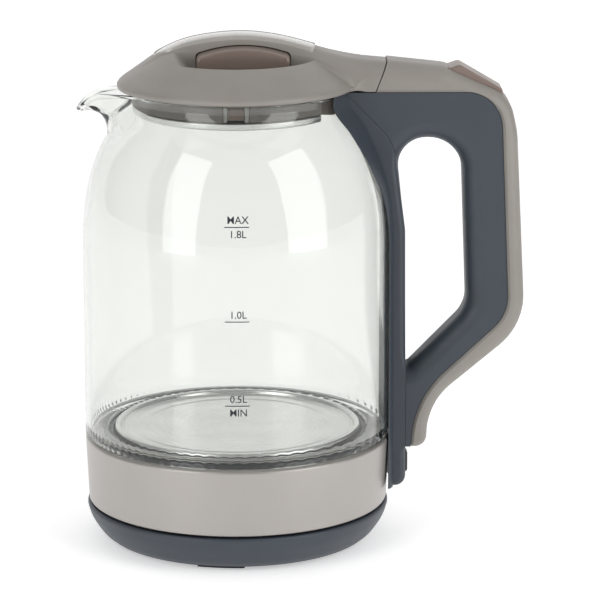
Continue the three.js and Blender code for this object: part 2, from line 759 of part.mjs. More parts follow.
function makeStrap() {
  let strap = acrossY(outline.strap, HANDLE_HALF_WIDTH, STRAP_EDGE).add(makeFlange());
  strap = strap.subtract(glassEnvelope(CLEARANCE + 0.05));
  strap = strap.subtract(block([0, FAR], [-FAR / 2, FAR / 2], [HANDLE_SPLIT_TOP - CLEARANCE, FAR]));
  return strap.subtract(lensPocket()).subtract(loomHole());
}

function lensPocket() {
  const half = LENS_WIDTH / 2 + CLEARANCE;
  const tall = [LENS_BOTTOM - CLEARANCE, LENS_BOTTOM + LENS_HEIGHT + CLEARANCE];
  return block([beside(2.2), FAR], [-half, half], tall);
}

// The whole handle as one body, before it is parted into grip and cover.
function wholeHandle() {
  return acrossY(outline.outer, HANDLE_HALF_WIDTH, HANDLE_EDGE, 3).subtract(throughLoop());
}

function makeGrip() {
  const front = acrossY(outline.split, FAR / 2);
  const loopEdge = acrossY(grown(outline.loop, 0.01), FAR / 2);
  let grip = wholeHandle().intersect(front).subtract(loopEdge);
  grip = grip.subtract(acrossY(grown(outline.strap, CLEARANCE), FAR / 2));
  grip = grip.subtract(glassEnvelope(CLEARANCE + 0.05));
  grip = grip.subtract(switchPocket()).subtract(pinHole());
  return grip.subtract(loomHole());
}

// The leads run beside the switch, down the hollow of the cover and through the grip's foot into the strap.
const loomTurn = fromRim(-30.2);
const loomBend = 118;
const loomMiddle = loomBend + ((loomTurn - loomBend) * 32) / 67;
const loomPath = [
  [beside(24.2), LOOM_SIDE, fromRim(3.8)],
  [beside(31.2), LOOM_SIDE, fromRim(3.4)],
  [beside(38.2), LOOM_SIDE, fromRim(1.5)],
  [beside(44.7), LOOM_SIDE, fromRim(-1.8)],
  [beside(50.2), LOOM_SIDE, fromRim(-8.2)],
  [beside(52.8), 5, fromRim(-18.2)],
  [beside(53.6), 0, loomTurn],
  [beside(55.6), 0, loomMiddle],
  [beside(57.6), 0, loomBend],
  [beside(54.7), 0, 106.4],
  [beside(43.2), 0, 95.6],
  [beside(30.2), 0, 83],
  [beside(19.2), 0, 70.5],
  [beside(14.2), 0, 58],
  [beside(10.2), 0, 49],
  [beside(5.2), 0, 44.5],
  [beside(3.6), 0, 41.6],
];
const LOOM_STEPS = 36;
const loomHole = () => bar(loomPath, LOOM_RADIUS + 0.4, LOOM_STEPS);

function seamCut(side) {
  const shift = (side * SEAM_GAP) / 2;
  const reach = side * FAR;
  return acrossY(
    [
      [SEAM_BOTTOM + shift, SEAM_FOOT],
      [SEAM_TOP + shift + 1.2, fromRim(18.3)],
      [SEAM_TOP + reach, fromRim(18.3)],
      [SEAM_TOP + reach, SEAM_FOOT],
    ],
    FAR / 2,
  );
}

function makeCover() {
  const behindSplit = acrossY(grown(outline.split, CLEARANCE), FAR / 2);
  const core = acrossY(grown(outline.outer, -COVER_WALL), HANDLE_HALF_WIDTH - COVER_WALL);
  let cover = wholeHandle().subtract(behindSplit).intersect(seamCut(1));
  const lower = block([SEAM_TOP + 4, FAR], [-FAR / 2, FAR / 2], [0, SEAM_FOOT + 1]);
  cover = cover.add(wholeHandle().subtract(behindSplit).intersect(lower));
  return cover.subtract(core).subtract(switchPocket()).subtract(steamDuctHole());
}

// ---------------------------------------------------------------- switch and steam parts in the handle
const switchOutline = [
  [beside(25), fromRim(4.3)],
  [beside(25.8), fromRim(10.8), 0.6],
  [beside(31.2), fromRim(12.7), 2],
  [beside(51.8), fromRim(0.7), 2],
  [beside(50.8), fromRim(-2.2), 1],
  [beside(41.2), fromRim(-6.2), 2],
  [beside(35.2), fromRim(-6.2), 2],
];

const pinHole = () => rodAlongY(
  ...SWITCH_PIVOT,
  SWITCH_PIN_RADIUS + CLEARANCE,
  -SWITCH_PIN_HALF_LENGTH - CLEARANCE,
  SWITCH_PIN_HALF_LENGTH + CLEARANCE,
);

function makeSwitch() {
  const rocker = acrossY(roundedOutline(switchOutline), SWITCH_HALF_WIDTH, 0.5, 1);
  return rocker.subtract(rodAlongY(...SWITCH_PIVOT, SWITCH_PIN_RADIUS + RUNNING_CLEARANCE, -FAR, FAR));
}

// The rocker's own shape swept through its press, with clearance all round.
function switchPocket() {
  let pocket = null;
  for (const degrees of [0, SWITCH_PRESS_DEGREES / 2, SWITCH_PRESS_DEGREES]) {
    const room = grown(roundedOutline(switchOutline), RUNNING_CLEARANCE);
    const shape = acrossY(room, SWITCH_HALF_WIDTH + RUNNING_CLEARANCE);
    const turnedShape = shape
      .translate([-SWITCH_PIVOT[0], 0, -SWITCH_PIVOT[1]])
      .rotate([0, -degrees, 0])
      .translate([SWITCH_PIVOT[0], 0, SWITCH_PIVOT[1]]);
    pocket = pocket ? pocket.add(turnedShape) : turnedShape;
  }
  return pocket;
}

function steamDuctHole() {
  return rodAlongX(0, STEAM_AXIS, STEAM_TUBE_RADIUS + CLEARANCE, beside(-12.8), beside(1.2));
}

function addSwitchParts() {
  const housingFloor = HANDLE_SPLIT_TOP + CLEARANCE + 0.2;
  const length = [beside(7.2), beside(23.2)];
  const housing = block(length, [-HOUSING_HALF_WIDTH, HOUSING_HALF_WIDTH], [housingFloor, fromRim(8.4)]);
  const chamber = rodAlongX(0, STEAM_AXIS, 3.4, beside(6.2), beside(19.2));
  piece("switch_housing", housing.subtract(chamber), BLACK_PLASTIC);
  piece("steam_bimetal", rodAlongX(0, STEAM_AXIS, 2.9, beside(13.2), beside(14)), BRASS);
  const tube = rodAlongX(0, STEAM_AXIS, STEAM_TUBE_RADIUS - 0.2, beside(-1.3), beside(6.8));
  const bore = rodAlongX(0, STEAM_AXIS, STEAM_TUBE_RADIUS - 1, beside(-2.8), beside(8.2));
  piece("steam_tube", tube.subtract(bore), SILICONE);
  const half = SWITCH_PIN_HALF_LENGTH;
  piece("switch_pin", rodAlongY(...SWITCH_PIVOT, SWITCH_PIN_RADIUS, -half, half), STEEL);
  piece("wire_loom", bar(loomPath, LOOM_RADIUS, LOOM_STEPS), BLACK_PLASTIC);
  const lensTop = LENS_BOTTOM + LENS_HEIGHT;
  const lensSides = [-LENS_WIDTH / 2, LENS_WIDTH / 2];
  const lens = block([BOARD_X + 1.5, STRAP_BACK + LENS_PROUD], lensSides, [LENS_BOTTOM, lensTop]);
  piece("indicator_lens", lens, BLACK_PLASTIC);
  piece("indicator_board", block([BOARD_X, BOARD_X + 1.2], lensSides, [LENS_BOTTOM, lensTop - 1]), ALUMINIUM);
}

function addHandle() {
  piece("handle_strap", makeStrap(), DARK_PLASTIC);
  piece("handle_grip", makeGrip(), DARK_PLASTIC);
  piece("handle_cover", makeCover(), LIGHT_PLASTIC);
  piece("power_switch", makeSwitch(), BRONZE_PLASTIC);
  addSwitchParts();
}

// ---------------------------------------------------------------- lid
const lidDeckBottom = LID_BOTTOM + CLEARANCE;
const lidDeckTop = lidDeckBottom + PLUG_DECK;
const rearBlock = (clearance) => block([REAR_CUT + clearance, FAR], [-FAR / 2, FAR / 2], [0, FAR]);

// The dome's outside from the brim up to the crown, as [radius, height].
const domeCurve = new THREE.SplineCurve(
  [
    [LID_RADIUS, LID_BRIM_TOP - 2.4],
    [LID_RADIUS - 0.9, LID_BRIM_TOP - 1.1],
    [LID_RADIUS - 2.9, LID_BRIM_TOP + 0.6],
    [LID_RADIUS - 6.8, LID_BRIM_TOP + 3.2],
    [LID_RADIUS - 13.4, LID_BRIM_TOP + 7.7],
    [RECESS_RADIUS, LID_BRIM_TOP + 9.8],
    [RECESS_RADIUS - 4, LID_BRIM_TOP + 12.1],
    [24, LID_BRIM_TOP + 15.2],
    [0, LID_BRIM_TOP + 16.6],
  ].map((p) => new THREE.Vector2(...p)),
);
const dome = (offset) => domeCurve.getPoints(8).map((p) => [Math.max(0, p.x + offset), p.y + offset]);

// The top of the arch and the tongue behind it, as [x, z].
const archCurve = new THREE.SplineCurve(
  [
    [-LID_RADIUS + 10.5, ARCH_TOP - 15.6],
    [-LID_RADIUS + 18.7, ARCH_TOP - 9.4],
    [-23.3, ARCH_TOP - 3.3],
    [0, ARCH_TOP],
    [17.7, ARCH_TOP - 1.4],
    [33.6, ARCH_TOP - 5.2],
    [LID_RADIUS - 9.4, ARCH_TOP - 9],
    [LID_RADIUS + 0.5, ARCH_TOP - 11],
    [SEAM_TOP + 2, ARCH_TOP - 12.6],
  ].map((p) => new THREE.Vector2(...p)),
);
const ARCH_STEPS = 24;
const archPoints = (from, to, drop = 0) =>
  archCurve
    .getPoints(ARCH_STEPS)
    .filter((p) => p.x >= from && p.x <= to)
    .map((p) => [p.x, p.y - drop]);

function archBand(from, to, top, bottom) {
  return [...archPoints(from, to, top), ...archPoints(from, to, bottom).reverse()];
}

const buttonOutline = (clearance) => {
  const half = BUTTON_HALF_LENGTH + clearance;
  const radius = BUTTON_TOP_RADIUS + clearance;
  const side = THREE.MathUtils.radToDeg(Math.asin(half / radius));
  const bottom = RECESS_FLOOR + RUNNING_CLEARANCE - clearance;
  return [
    [BUTTON_CENTRE - half, bottom],
    [BUTTON_CENTRE + half, bottom],
    ...arc(BUTTON_CENTRE, BUTTON_TOP - BUTTON_TOP_RADIUS, radius, 90 - side, 90 + side, 8),
  ];
};

function makeLidCover() {
  let shell = turned([[0, LID_BOTTOM], [LID_RADIUS, LID_BOTTOM], ...dome(0)]);
  const arch = [...archPoints(-FAR, 50), [50, LID_BRIM_TOP + 1], [-40, LID_BRIM_TOP + 1]];
  shell = shell.add(acrossY(arch, ARCH_HALF_WIDTH));
  const tongueBottom = HANDLE_SPLIT_TOP + CLEARANCE;
  const tongueFoot = [[SEAM_TOP + 2, tongueBottom], [42, tongueBottom], [30, LID_BRIM_TOP + 3]];
  const tongue = [...archPoints(30, FAR), ...tongueFoot];
  shell = shell.add(acrossY(tongue, HANDLE_HALF_WIDTH, 3, 3).intersect(seamCut(-1)));
  const rim = turned([[0, 0], [LID_RADIUS - LID_WALL, 0], ...dome(-LID_WALL)]);
  const underFloor = disc(FAR, -1, RECESS_FLOOR - LID_WALL);
  shell = shell.subtract(rim.intersect(underFloor));
  const tongueHollow = [
    [32, LID_BOTTOM - 11.7],
    [SEAM_TOP + 5, LID_BOTTOM - 11.7],
    [SEAM_TOP + 5, LID_BOTTOM + 9.9],
    [LID_RADIUS - 7.5, LID_BOTTOM + 12.3],
    [32, RECESS_FLOOR - LID_WALL],
  ];
  shell = shell.subtract(acrossY(tongueHollow, HANDLE_HALF_WIDTH - LID_WALL));
  const well = disc(RECESS_RADIUS, RECESS_FLOOR, FAR);
  const underArch = block([-FAR, FAR], [-ARCH_HALF_WIDTH, ARCH_HALF_WIDTH], [0, FAR]);
  shell = shell.subtract(well.subtract(underArch));
  const tunnel = acrossY(buttonOutline(RUNNING_CLEARANCE), ARCH_HALF_WIDTH + 1);
  const rib = block([-FAR, FAR], [-SPRING_RIB, SPRING_RIB], [0, FAR]);
  shell = shell.subtract(tunnel.subtract(rib));
  shell = shell.subtract(legSlots(RECESS_FLOOR - LID_WALL - 1, RECESS_FLOOR + 1));
  const bed = acrossY(
    archBand(-TRIM_HALF_LENGTH - CLEARANCE, TRIM_HALF_LENGTH, -3, TRIM_THICKNESS + CLEARANCE),
    TRIM_HALF_WIDTH + CLEARANCE,
  );
  shell = shell.subtract(bed);
  for (const side of [-1, 1]) {
    const boss = disc(bossRadius, lidDeckTop + CLEARANCE, RECESS_FLOOR - 1, SMALL_SIDES);
    const hole = disc(SCREW_SHANK_RADIUS + CLEARANCE, 0, RECESS_FLOOR - LID_WALL, SMALL_SIDES);
    shell = shell.add(boss.translate([side * LID_SCREW_X, 0, 0]));
    shell = shell.subtract(hole.translate([side * LID_SCREW_X, 0, 0]));
  }
  return shell;
}

// Slots that the legs of the two latch bolts pass through, long enough for their travel.
function legSlots(bottom, top) {
  const half = BOLT_WIDTH / 2 + RUNNING_CLEARANCE;
  const inner = LEG_OUTER - LEG_THICKNESS - BUTTON_TRAVEL - RUNNING_CLEARANCE;
  const outer = LEG_OUTER + RUNNING_CLEARANCE;
  const front = block([-half, half], [-outer, -inner], [bottom, top]);
  return front.add(block([-half, half], [inner, outer], [bottom, top]));
}

// A flat wall that closes a round cup where its rear is cut away for the steam inlet.
function rearWall(radius, wall, bottom, top) {
  const chord = block([REAR_CUT - wall, REAR_CUT], [-radius, radius], [bottom, top]);
  return chord.intersect(disc(radius, bottom, top));
}

function makePlug() {
  let plug = ring(PLUG_RADIUS - PLUG_WALL, PLUG_RADIUS, PLUG_BOTTOM, lidDeckBottom + 1);
  plug = plug.add(disc(LID_RADIUS - 2 * LID_WALL - CLEARANCE, lidDeckBottom, lidDeckTop));
  plug = plug.subtract(rearBlock(0)).add(rearWall(PLUG_RADIUS, PLUG_WALL, PLUG_BOTTOM, lidDeckBottom + 1));
  const half = WINDOW_WIDTH / 2;
  const windows = block([-half, half], [-FAR / 2, FAR / 2], [PLUG_BOTTOM - 1, lidDeckBottom - 0.4]);
  const core = disc(PLUG_RADIUS - 6, 0, FAR);
  plug = plug.subtract(windows.subtract(core));
  plug = plug.subtract(legSlots(lidDeckBottom - 1, lidDeckTop + 1));
  for (const side of [-1, 1]) {
    const hole = disc(SCREW_SHANK_RADIUS + CLEARANCE, lidDeckBottom - 1, FAR, SMALL_SIDES);
    plug = plug.subtract(hole.translate([side * LID_SCREW_X, 0, 0]));
  }
  return plug;
}

function makePan() {
  const top = PLUG_BOTTOM - CLEARANCE;
  let pan = ring(PLUG_RADIUS - PAN_WALL, PLUG_RADIUS, PAN_BOTTOM, top);
  pan = pan.add(disc(PLUG_RADIUS, PAN_BOTTOM, PAN_BOTTOM + PAN_WALL));
  return pan.subtract(rearBlock(0)).add(rearWall(PLUG_RADIUS, PAN_WALL, PAN_BOTTOM, top));
}

function makeLatchFrame(side) {
  const half = WINDOW_WIDTH / 2 - CLEARANCE;
  const hole = BOLT_WIDTH / 2 + RUNNING_CLEARANCE;
  const bottom = PLUG_BOTTOM + CLEARANCE;
  const top = lidDeckBottom - 0.4 - CLEARANCE;
  const depth = [-PLUG_RADIUS + 0.3, -PLUG_RADIUS + 3];
  const frame = block([-half, half], depth, [bottom, top]);
  const opening = block([-hole, hole], [-FAR, 0], [0, BOLT_BOTTOM + BOLT_HEIGHT + RUNNING_CLEARANCE]);
  return frame.subtract(opening).rotate([0, 0, side < 0 ? 0 : 180]);
}

function makeBolt(side) {
  const half = BOLT_WIDTH / 2;
  const top = BOLT_BOTTOM + BOLT_HEIGHT;
  const bar = block([-half, half], [-PLUG_RADIUS + 0.6, -LEG_OUTER + LEG_THICKNESS], [BOLT_BOTTOM, top]);
  const legTop = RECESS_FLOOR + RUNNING_CLEARANCE - CLEARANCE;
  const leg = block([-half, half], [-LEG_OUTER, -LEG_OUTER + LEG_THICKNESS], [top - 1, legTop]);
  return bar.add(leg).rotate([0, 0, side < 0 ? 0 : 180]);
}

// Each spring is drawn as short as the pressed button makes it, round the peg that guides it.
const springStart = SPRING_RIB + CLEARANCE;
const springEnd = BUTTON_INNER - BUTTON_TRAVEL - CLEARANCE;

function makeButton(side) {
  const depth = (BUTTON_OUTER - BUTTON_INNER) / 2;
  const centre = (BUTTON_OUTER + BUTTON_INNER) / 2;
  const button = acrossY(buttonOutline(0), depth, 1, 1).translate([0, -centre, 0]);
  const pegRadius = SPRING_RADIUS - SPRING_WIRE - CLEARANCE;
  const peg = rodAlongY(0, SPRING_HEIGHT, pegRadius, -BUTTON_INNER - 1, -springEnd);
  const whole = button.add(peg);
  return side < 0 ? whole : whole.mirror([0, 1, 0]);
}

function makeSpring(side) {
  const perTurn = 8;
  const count = SPRING_TURNS * perTurn;
  const points = Array.from({ length: count + 1 }, (_, i) => {
    const angle = (2 * Math.PI * i) / perTurn;
    const along = THREE.MathUtils.lerp(springStart + SPRING_WIRE, springEnd - SPRING_WIRE, i / count);
    return [SPRING_RADIUS * Math.cos(angle), side * along, SPRING_HEIGHT + SPRING_RADIUS * Math.sin(angle)];
  });
  return bar(points, SPRING_WIRE, count, 5);
}

function addLid() {
  piece("lid_cover", makeLidCover(), LIGHT_PLASTIC);
  const trim = archBand(-TRIM_HALF_LENGTH, TRIM_HALF_LENGTH - 1, 0, TRIM_THICKNESS);
  piece("lid_trim", acrossY(trim, TRIM_HALF_WIDTH), GLOSS_TRIM);
  piece("lid_plug", makePlug(), LIGHT_PLASTIC);
  piece("lid_pan", makePan(), STEEL);
  const sealTop = lidDeckBottom - CLEARANCE;
  const seal = ring(PLUG_RADIUS + CLEARANCE, NECK_RADIUS, GLASS_RIM + CLEARANCE, sealTop);
  piece("lid_seal", seal.subtract(rearBlock(0)), SILICONE);
  for (const side of [-1, 1]) {
    const place = side < 0 ? "front" : "back";
    piece(`lid_button_${place}`, makeButton(side), BRONZE_PLASTIC);
    piece(`latch_bolt_${place}`, makeBolt(side), BRONZE_PLASTIC);
    piece(`latch_frame_${place}`, makeLatchFrame(side), PALE_PLASTIC);
    piece(`latch_spring_${place}`, makeSpring(side), STEEL);
    const headBottom = lidDeckBottom - CLEARANCE - SCREW_HEAD_HEIGHT;
    piece(`lid_screw_${side < 0 ? 1 : 2}`, screw(side * LID_SCREW_X, 0, headBottom, 9), STEEL);
  }
}

// The steam inlet stands in the neck behind the lid's plug and leads over the rim into the handle.
function addSteamInlet() {
  const rear = SEAM_TOP - 1.7;
  const mouthEnd = NECK_RADIUS - 5.2;
  const neck = block([REAR_CUT + 0.7, NECK_RADIUS - 3], [-9, 9], [PLUG_BOTTOM - 3.1, LID_BRIM_TOP]);
  const over = block([mouthEnd, rear], [-7, 7], [fromRim(CLEARANCE + 0.9), LID_BRIM_TOP + 2.4]);
  const mouth = block([REAR_CUT, mouthEnd], [-6, 6], [PLUG_BOTTOM - 1.3, PLUG_BOTTOM + 6.2]);
  const duct = rodAlongX(0, STEAM_AXIS, STEAM_TUBE_RADIUS, NECK_RADIUS - 8.2, FAR);
  const well = disc(STEAM_TUBE_RADIUS, PLUG_BOTTOM - 0.3, STEAM_AXIS, SMALL_SIDES);
  const drop = well.translate([NECK_RADIUS - 7.2, 0, 0]);
  const aboveRim = block([0, FAR], [-9, 9], [LID_BOTTOM - 0.7, FAR]);
  const inside = disc(NECK_RADIUS - GLASS_WALL - 0.5, 0, FAR).add(aboveRim);
  piece("steam_inlet", neck.intersect(inside).add(over).subtract(mouth).subtract(duct).subtract(drop), BRONZE_PLASTIC);
}

piece("glass_jug", makeGlass(), GLASS);
addPowerBase();
addJugFoot();
addHandle();
addLid();
addSteamInlet();

designFrame.position.x = -(HANDLE_REAR - SPOUT_REACH) / 2;

export default kettle;
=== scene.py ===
"""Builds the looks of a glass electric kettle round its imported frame: one piece for each visible moulding."""
import json
import math

import bmesh
import bpy
import numpy as np
from bpy.props import FloatProperty, FloatVectorProperty, IntProperty, PointerProperty
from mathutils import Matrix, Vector


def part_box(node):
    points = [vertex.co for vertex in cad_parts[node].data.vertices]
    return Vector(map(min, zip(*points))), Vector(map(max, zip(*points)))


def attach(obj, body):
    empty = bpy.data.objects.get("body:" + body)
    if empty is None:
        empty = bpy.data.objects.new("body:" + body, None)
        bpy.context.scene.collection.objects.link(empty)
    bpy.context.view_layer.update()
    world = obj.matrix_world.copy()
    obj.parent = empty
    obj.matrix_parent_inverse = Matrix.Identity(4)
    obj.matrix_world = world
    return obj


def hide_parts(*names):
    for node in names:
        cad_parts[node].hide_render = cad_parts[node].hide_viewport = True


bl_info = {
    "name": "Glass kettle builder",
    "version": (1, 0, 0),
    "blender": (4, 5, 0),
    "location": "View3D > Sidebar > Kettle",
    "description": "Builds the visible pieces of a glass electric kettle on its packed frame",
    "category": "Add Mesh",
}

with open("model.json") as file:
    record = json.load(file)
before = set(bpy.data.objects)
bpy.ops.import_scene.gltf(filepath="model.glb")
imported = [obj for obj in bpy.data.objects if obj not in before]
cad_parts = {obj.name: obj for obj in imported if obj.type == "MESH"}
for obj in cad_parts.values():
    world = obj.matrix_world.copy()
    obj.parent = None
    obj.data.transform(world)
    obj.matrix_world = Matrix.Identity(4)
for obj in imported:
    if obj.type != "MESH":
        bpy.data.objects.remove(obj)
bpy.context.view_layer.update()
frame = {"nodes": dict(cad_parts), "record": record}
MM = 0.001


def span(node, axis):
    """The lowest and highest place of a frame node along one axis, in millimetres from the jug's axis."""
    low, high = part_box(node)
    shift = JUG_X if axis == 0 else 0.0
    return (low[axis] - shift) / MM, (high[axis] - shift) / MM


JUG_X = sum(corner.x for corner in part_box("lower_band")) / 2
GLASS_LOW, GLASS_HIGH = span("glass_jug", 2)
GLASS_SIDE = span("glass_jug", 1)[1]
SPOUT_TIP = -span("glass_jug", 0)[0]
BAND_LOW, BAND_HIGH = span("lower_band", 2)
BAND_SIDE = span("lower_band", 1)[1]
BASE_LOW, BASE_HIGH = span("base_cover", 2)
BASE_SIDE = span("base_cover", 1)[1]
LID_SIDE = span("lid_cover", 1)[1]
ARCH_HIGH = span("lid_trim", 2)[1]
PLUG_LOW = span("lid_plug", 2)[0]
PAN_LOW, PAN_HIGH = span("lid_pan", 2)
PAN_SIDE = span("lid_pan", 1)[1]
PLUG_REAR = span("lid_plug", 0)[1]
COVER_SIDE = span("handle_cover", 1)[1]
COVER_LOW = span("handle_cover", 2)[0]
SWITCH_SIDE = span("power_switch", 1)[1]
BUTTON_TOP = span("lid_button_front", 2)[1]
BUTTON_X = sum(span("lid_button_front", 0)) / 2
BUTTON_HALF = (span("lid_button_front", 0)[1] - span("lid_button_front", 0)[0]) / 2
STRAP_LOW = span("handle_strap", 2)[0]
LENS_LOW, LENS_HIGH = span("indicator_lens", 2)
LENS_X = span("indicator_lens", 0)


# ---------------------------------------------------------------- settings
def length(name, description, default_mm):
    """A length property whose default is given in millimetres."""
    return FloatProperty(name=name, description=description, default=default_mm * MM, unit="LENGTH",
                         precision=4)


def colour(name, description, default):
    return FloatVectorProperty(name=name, description=description, default=default, size=3, min=0, max=1,
                               subtype="COLOR")


class KettleSizes(bpy.types.PropertyGroup):
    glass_wall: length("Glass wall", "Thickness of the jug's glass", 2.5)
    neck_radius: length("Neck radius", "Outside radius of the glass neck", 49.2)
    floor_ring_inner: length("Floor ring", "Inner radius of the glass floor ring", 61.5)
    plate_radius: length("Heating plate", "Radius of the steel floor plate", 57.0)
    dome_edge: length("Recess radius", "Radius at which the lid's recess is cut", 38.4)
    recess_floor: length("Recess floor", "Height of the floor of the lid's recess", 227.5)
    tongue_half_width: length("Tongue", "Half the width of the lid's tongue", 13.5)
    handle_rounding: length("Handle rounding", "Radius along the handle's long edges", 8.0)
    grip_half_width: length("Grip", "Half the width of the dark grip", 12.4)
    print_height: length("Figures", "Height of the capital letters of the level scale", 3.3)
    lathe_sides: IntProperty(name="Sides", description="Steps round each turned piece", default=192, min=48)
    flutes: IntProperty(name="Flutes", description="Count of fine flutes round the glass foot", default=84,
                        min=12)


class KettleColours(bpy.types.PropertyGroup):
    dark: colour("Handle", "Blue-grey plastic of handle and base", (0.040, 0.050, 0.064))
    light: colour("Lid", "Warm grey plastic of lid and handle cover", (0.262, 0.242, 0.220))
    band: colour("Band", "Satin lacquer of the lower band", (0.400, 0.376, 0.355))
    bronze: colour("Switch", "Bronze plastic of switch and buttons", (0.215, 0.165, 0.140))
    trim: colour("Trim", "Glossy insert on the arch", (0.400, 0.380, 0.355))
    pale: colour("Frame", "Pale latch frames", (0.480, 0.470, 0.450))
    glass: colour("Glass", "Tint of the glass", (0.905, 0.915, 0.895))
    figures: colour("Figures", "Ink of the level scale", (0.012, 0.014, 0.022))
    floor: colour("Floor", "Studio floor", (0.90, 0.90, 0.90))


class KettleStudio(bpy.types.PropertyGroup):
    camera_at: FloatVectorProperty(name="Camera", description="Place of the camera", subtype="TRANSLATION",
                                   unit="LENGTH", default=(-0.0301, -1.5118, 0.4769))
    camera_aim: FloatVectorProperty(name="Aim", description="Point that the camera looks at", unit="LENGTH",
                                    subtype="TRANSLATION", default=(-0.0002, 0.0, 0.114))
    lens: FloatProperty(name="Lens", description="Focal length in millimetres on a 36 mm sensor",
                        default=196.8)
    sky: FloatProperty(name="Sky", description="Strength of the even white surroundings", default=0.30, min=0)
    floor_glow: FloatProperty(name="Floor glow", description="Light that the floor adds, to keep it white",
                              default=0.42)
    softbox: FloatProperty(name="Softboxes", description="Power of the left softbox", default=7.0,
                           unit="POWER")


def sizes():
    return bpy.context.scene.kettle_sizes


def colours():
    return bpy.context.scene.kettle_colours


# ---------------------------------------------------------------- shader maths
class Value:
    """A shader socket on which Python arithmetic adds Math nodes."""

    def __init__(self, shader, socket):
        self.shader = shader
        self.socket = socket

    def math(self, operation, first, second=None):
        return self.shader.node("ShaderNodeMath", {"operation": operation}, {0: first, 1: second})

    def __add__(self, other):
        return self.math("ADD", self, other)

    __radd__ = __add__

    def __sub__(self, other):
        return self.math("SUBTRACT", self, other)

    def __rsub__(self, other):
        return self.math("SUBTRACT", other, self)

    def __mul__(self, other):
        return self.math("MULTIPLY", self, other)

    __rmul__ = __mul__

    def __pow__(self, other):
        return self.math("POWER", self, other)


class Shader:
    """A procedural material that is built node by node."""

    def __init__(self, name):
        self.material = bpy.data.materials.new(name)
        self.material.use_nodes = True
        self.tree = self.material.node_tree
        self.tree.nodes.clear()

    def node(self, kind, settings=None, inputs=None, output=0):
        made = self.tree.nodes.new(kind)
        for key, value in (settings or {}).items():
            setattr(made, key, value)
        for key, value in (inputs or {}).items():
            self.feed(made.inputs[key], value)
        return Value(self, made.outputs[output]) if made.outputs else None

    def feed(self, socket, value):
        if isinstance(value, Value):
            self.tree.links.new(value.socket, socket)
        elif value is not None:
            socket.default_value = value

    def place(self):
        return self.node("ShaderNodeTexCoord", output="Object")

    def noise(self, scale, detail=3.0, at=None, roughness=0.5):
        inputs = {"Vector": at or self.place(), "Scale": scale, "Detail": detail, "Roughness": roughness}
        return self.node("ShaderNodeTexNoise", {"noise_dimensions": "3D"}, inputs, "Fac")

    def spread(self, value, low, high):
        """The middle of a noise's range stretched over 0 to 1, then laid between two numbers."""
        inputs = {"Value": value, "From Min": 0.3, "From Max": 0.7, "To Min": low, "To Max": high}
        return self.node("ShaderNodeMapRange", {"clamp": True}, inputs)

    def mix(self, share, first, second):
        return self.node("ShaderNodeMix", {"data_type": "RGBA"}, {0: share, 6: first, 7: second}, 2)

    def bump(self, height, distance, strength=1.0):
        inputs = {"Height": height, "Distance": distance, "Strength": strength}
        return self.node("ShaderNodeBump", None, inputs)

    def surface(self, inputs, volume=None):
        shade = self.node("ShaderNodeBsdfPrincipled", None, inputs)
        self.node("ShaderNodeOutputMaterial", None, {"Surface": shade, "Volume": volume})
        return self.material


def tone(rgb, share):
    """A colour made lighter or darker, with its alpha."""
    return (*(min(1.0, part * share) for part in rgb), 1.0)


def moulded(name, rgb, roughness, grain=2600.0, depth=0.00002, variation=0.05, **constants):
    """Injection-moulded plastic: a spark-eroded grain, and slow drifts of colour and sheen."""
    shader = Shader(name)
    drift = shader.spread(shader.noise(38.0, 4.0), 0.0, 1.0)
    speck = shader.noise(grain, 2.0)
    handled = shader.spread(shader.noise(90.0, 6.0), -0.035, 0.035)
    fine = shader.spread(speck, -0.03, 0.03)
    return shader.surface({
        "Base Color": shader.mix(drift, tone(rgb, 1 - variation), tone(rgb, 1 + variation)),
        "Roughness": handled + fine + roughness,
        "Normal": shader.bump(speck, depth),
        **constants,
    })


def dark_plastic():
    return moulded("dark_plastic", colours().dark, 0.46, depth=0.00003, **{"Specular IOR Level": 0.5})


def light_plastic():
    return moulded("light_plastic", colours().light, 0.42, grain=3200.0, depth=0.000018)


def bronze_plastic():
    return moulded("bronze_plastic", colours().bronze, 0.33, depth=0.00001, Metallic=0.25)


def gloss_trim():
    lacquer = {"Coat Weight": 1.0, "Coat Roughness": 0.04}
    return moulded("gloss_trim", colours().trim, 0.16, depth=0.000002, **lacquer)


def pale_plastic():
    return moulded("pale_plastic", colours().pale, 0.4)


def black_plastic():
    return moulded("black_plastic", (0.012, 0.012, 0.014), 0.45)


def rubber_foot():
    return moulded("rubber_foot", (0.016, 0.016, 0.018), 0.8, grain=1500.0, depth=0.00005)


def silicone():
    return moulded("silicone", (0.055, 0.062, 0.070), 0.42)


def figure_ink():
    return moulded("figure_ink", colours().figures, 0.5, grain=6000.0, variation=0.12)


def turned_metal(name, rgb, roughness, rings_per_metre, depth, **constants):
    """Metal with fine rings of brushing round the jug's axis."""
    shader = Shader(name)
    apart = shader.node("ShaderNodeSeparateXYZ", None, {0: shader.place()}, "X")
    parts = apart.socket.node.outputs
    across = Value(shader, parts["X"]) - JUG_X
    along = Value(shader, parts["Y"])
    radius = (across * across + along * along) ** 0.5
    height = Value(shader, parts["Z"])
    at = shader.node("ShaderNodeCombineXYZ", None, {0: radius * rings_per_metre, 2: height * 900.0})
    rings = shader.noise(1.0, 4.0, at, 0.7)
    smear = shader.spread(shader.noise(60.0, 4.0), 0.0, 1.0)
    return shader.surface({
        "Base Color": shader.mix(smear, tone(rgb, 0.94), tone(rgb, 1.05)),
        "Roughness": shader.spread(rings, -0.05, 0.05) + roughness,
        "Normal": shader.bump(rings, depth),
        "Metallic": 1.0,
        **constants,
    })


def steel():
    return turned_metal("steel", (0.78, 0.78, 0.77), 0.27, 5200.0, 0.000006)


def aluminium():
    return turned_metal("aluminium", (0.50, 0.51, 0.53), 0.42, 2400.0, 0.00001)


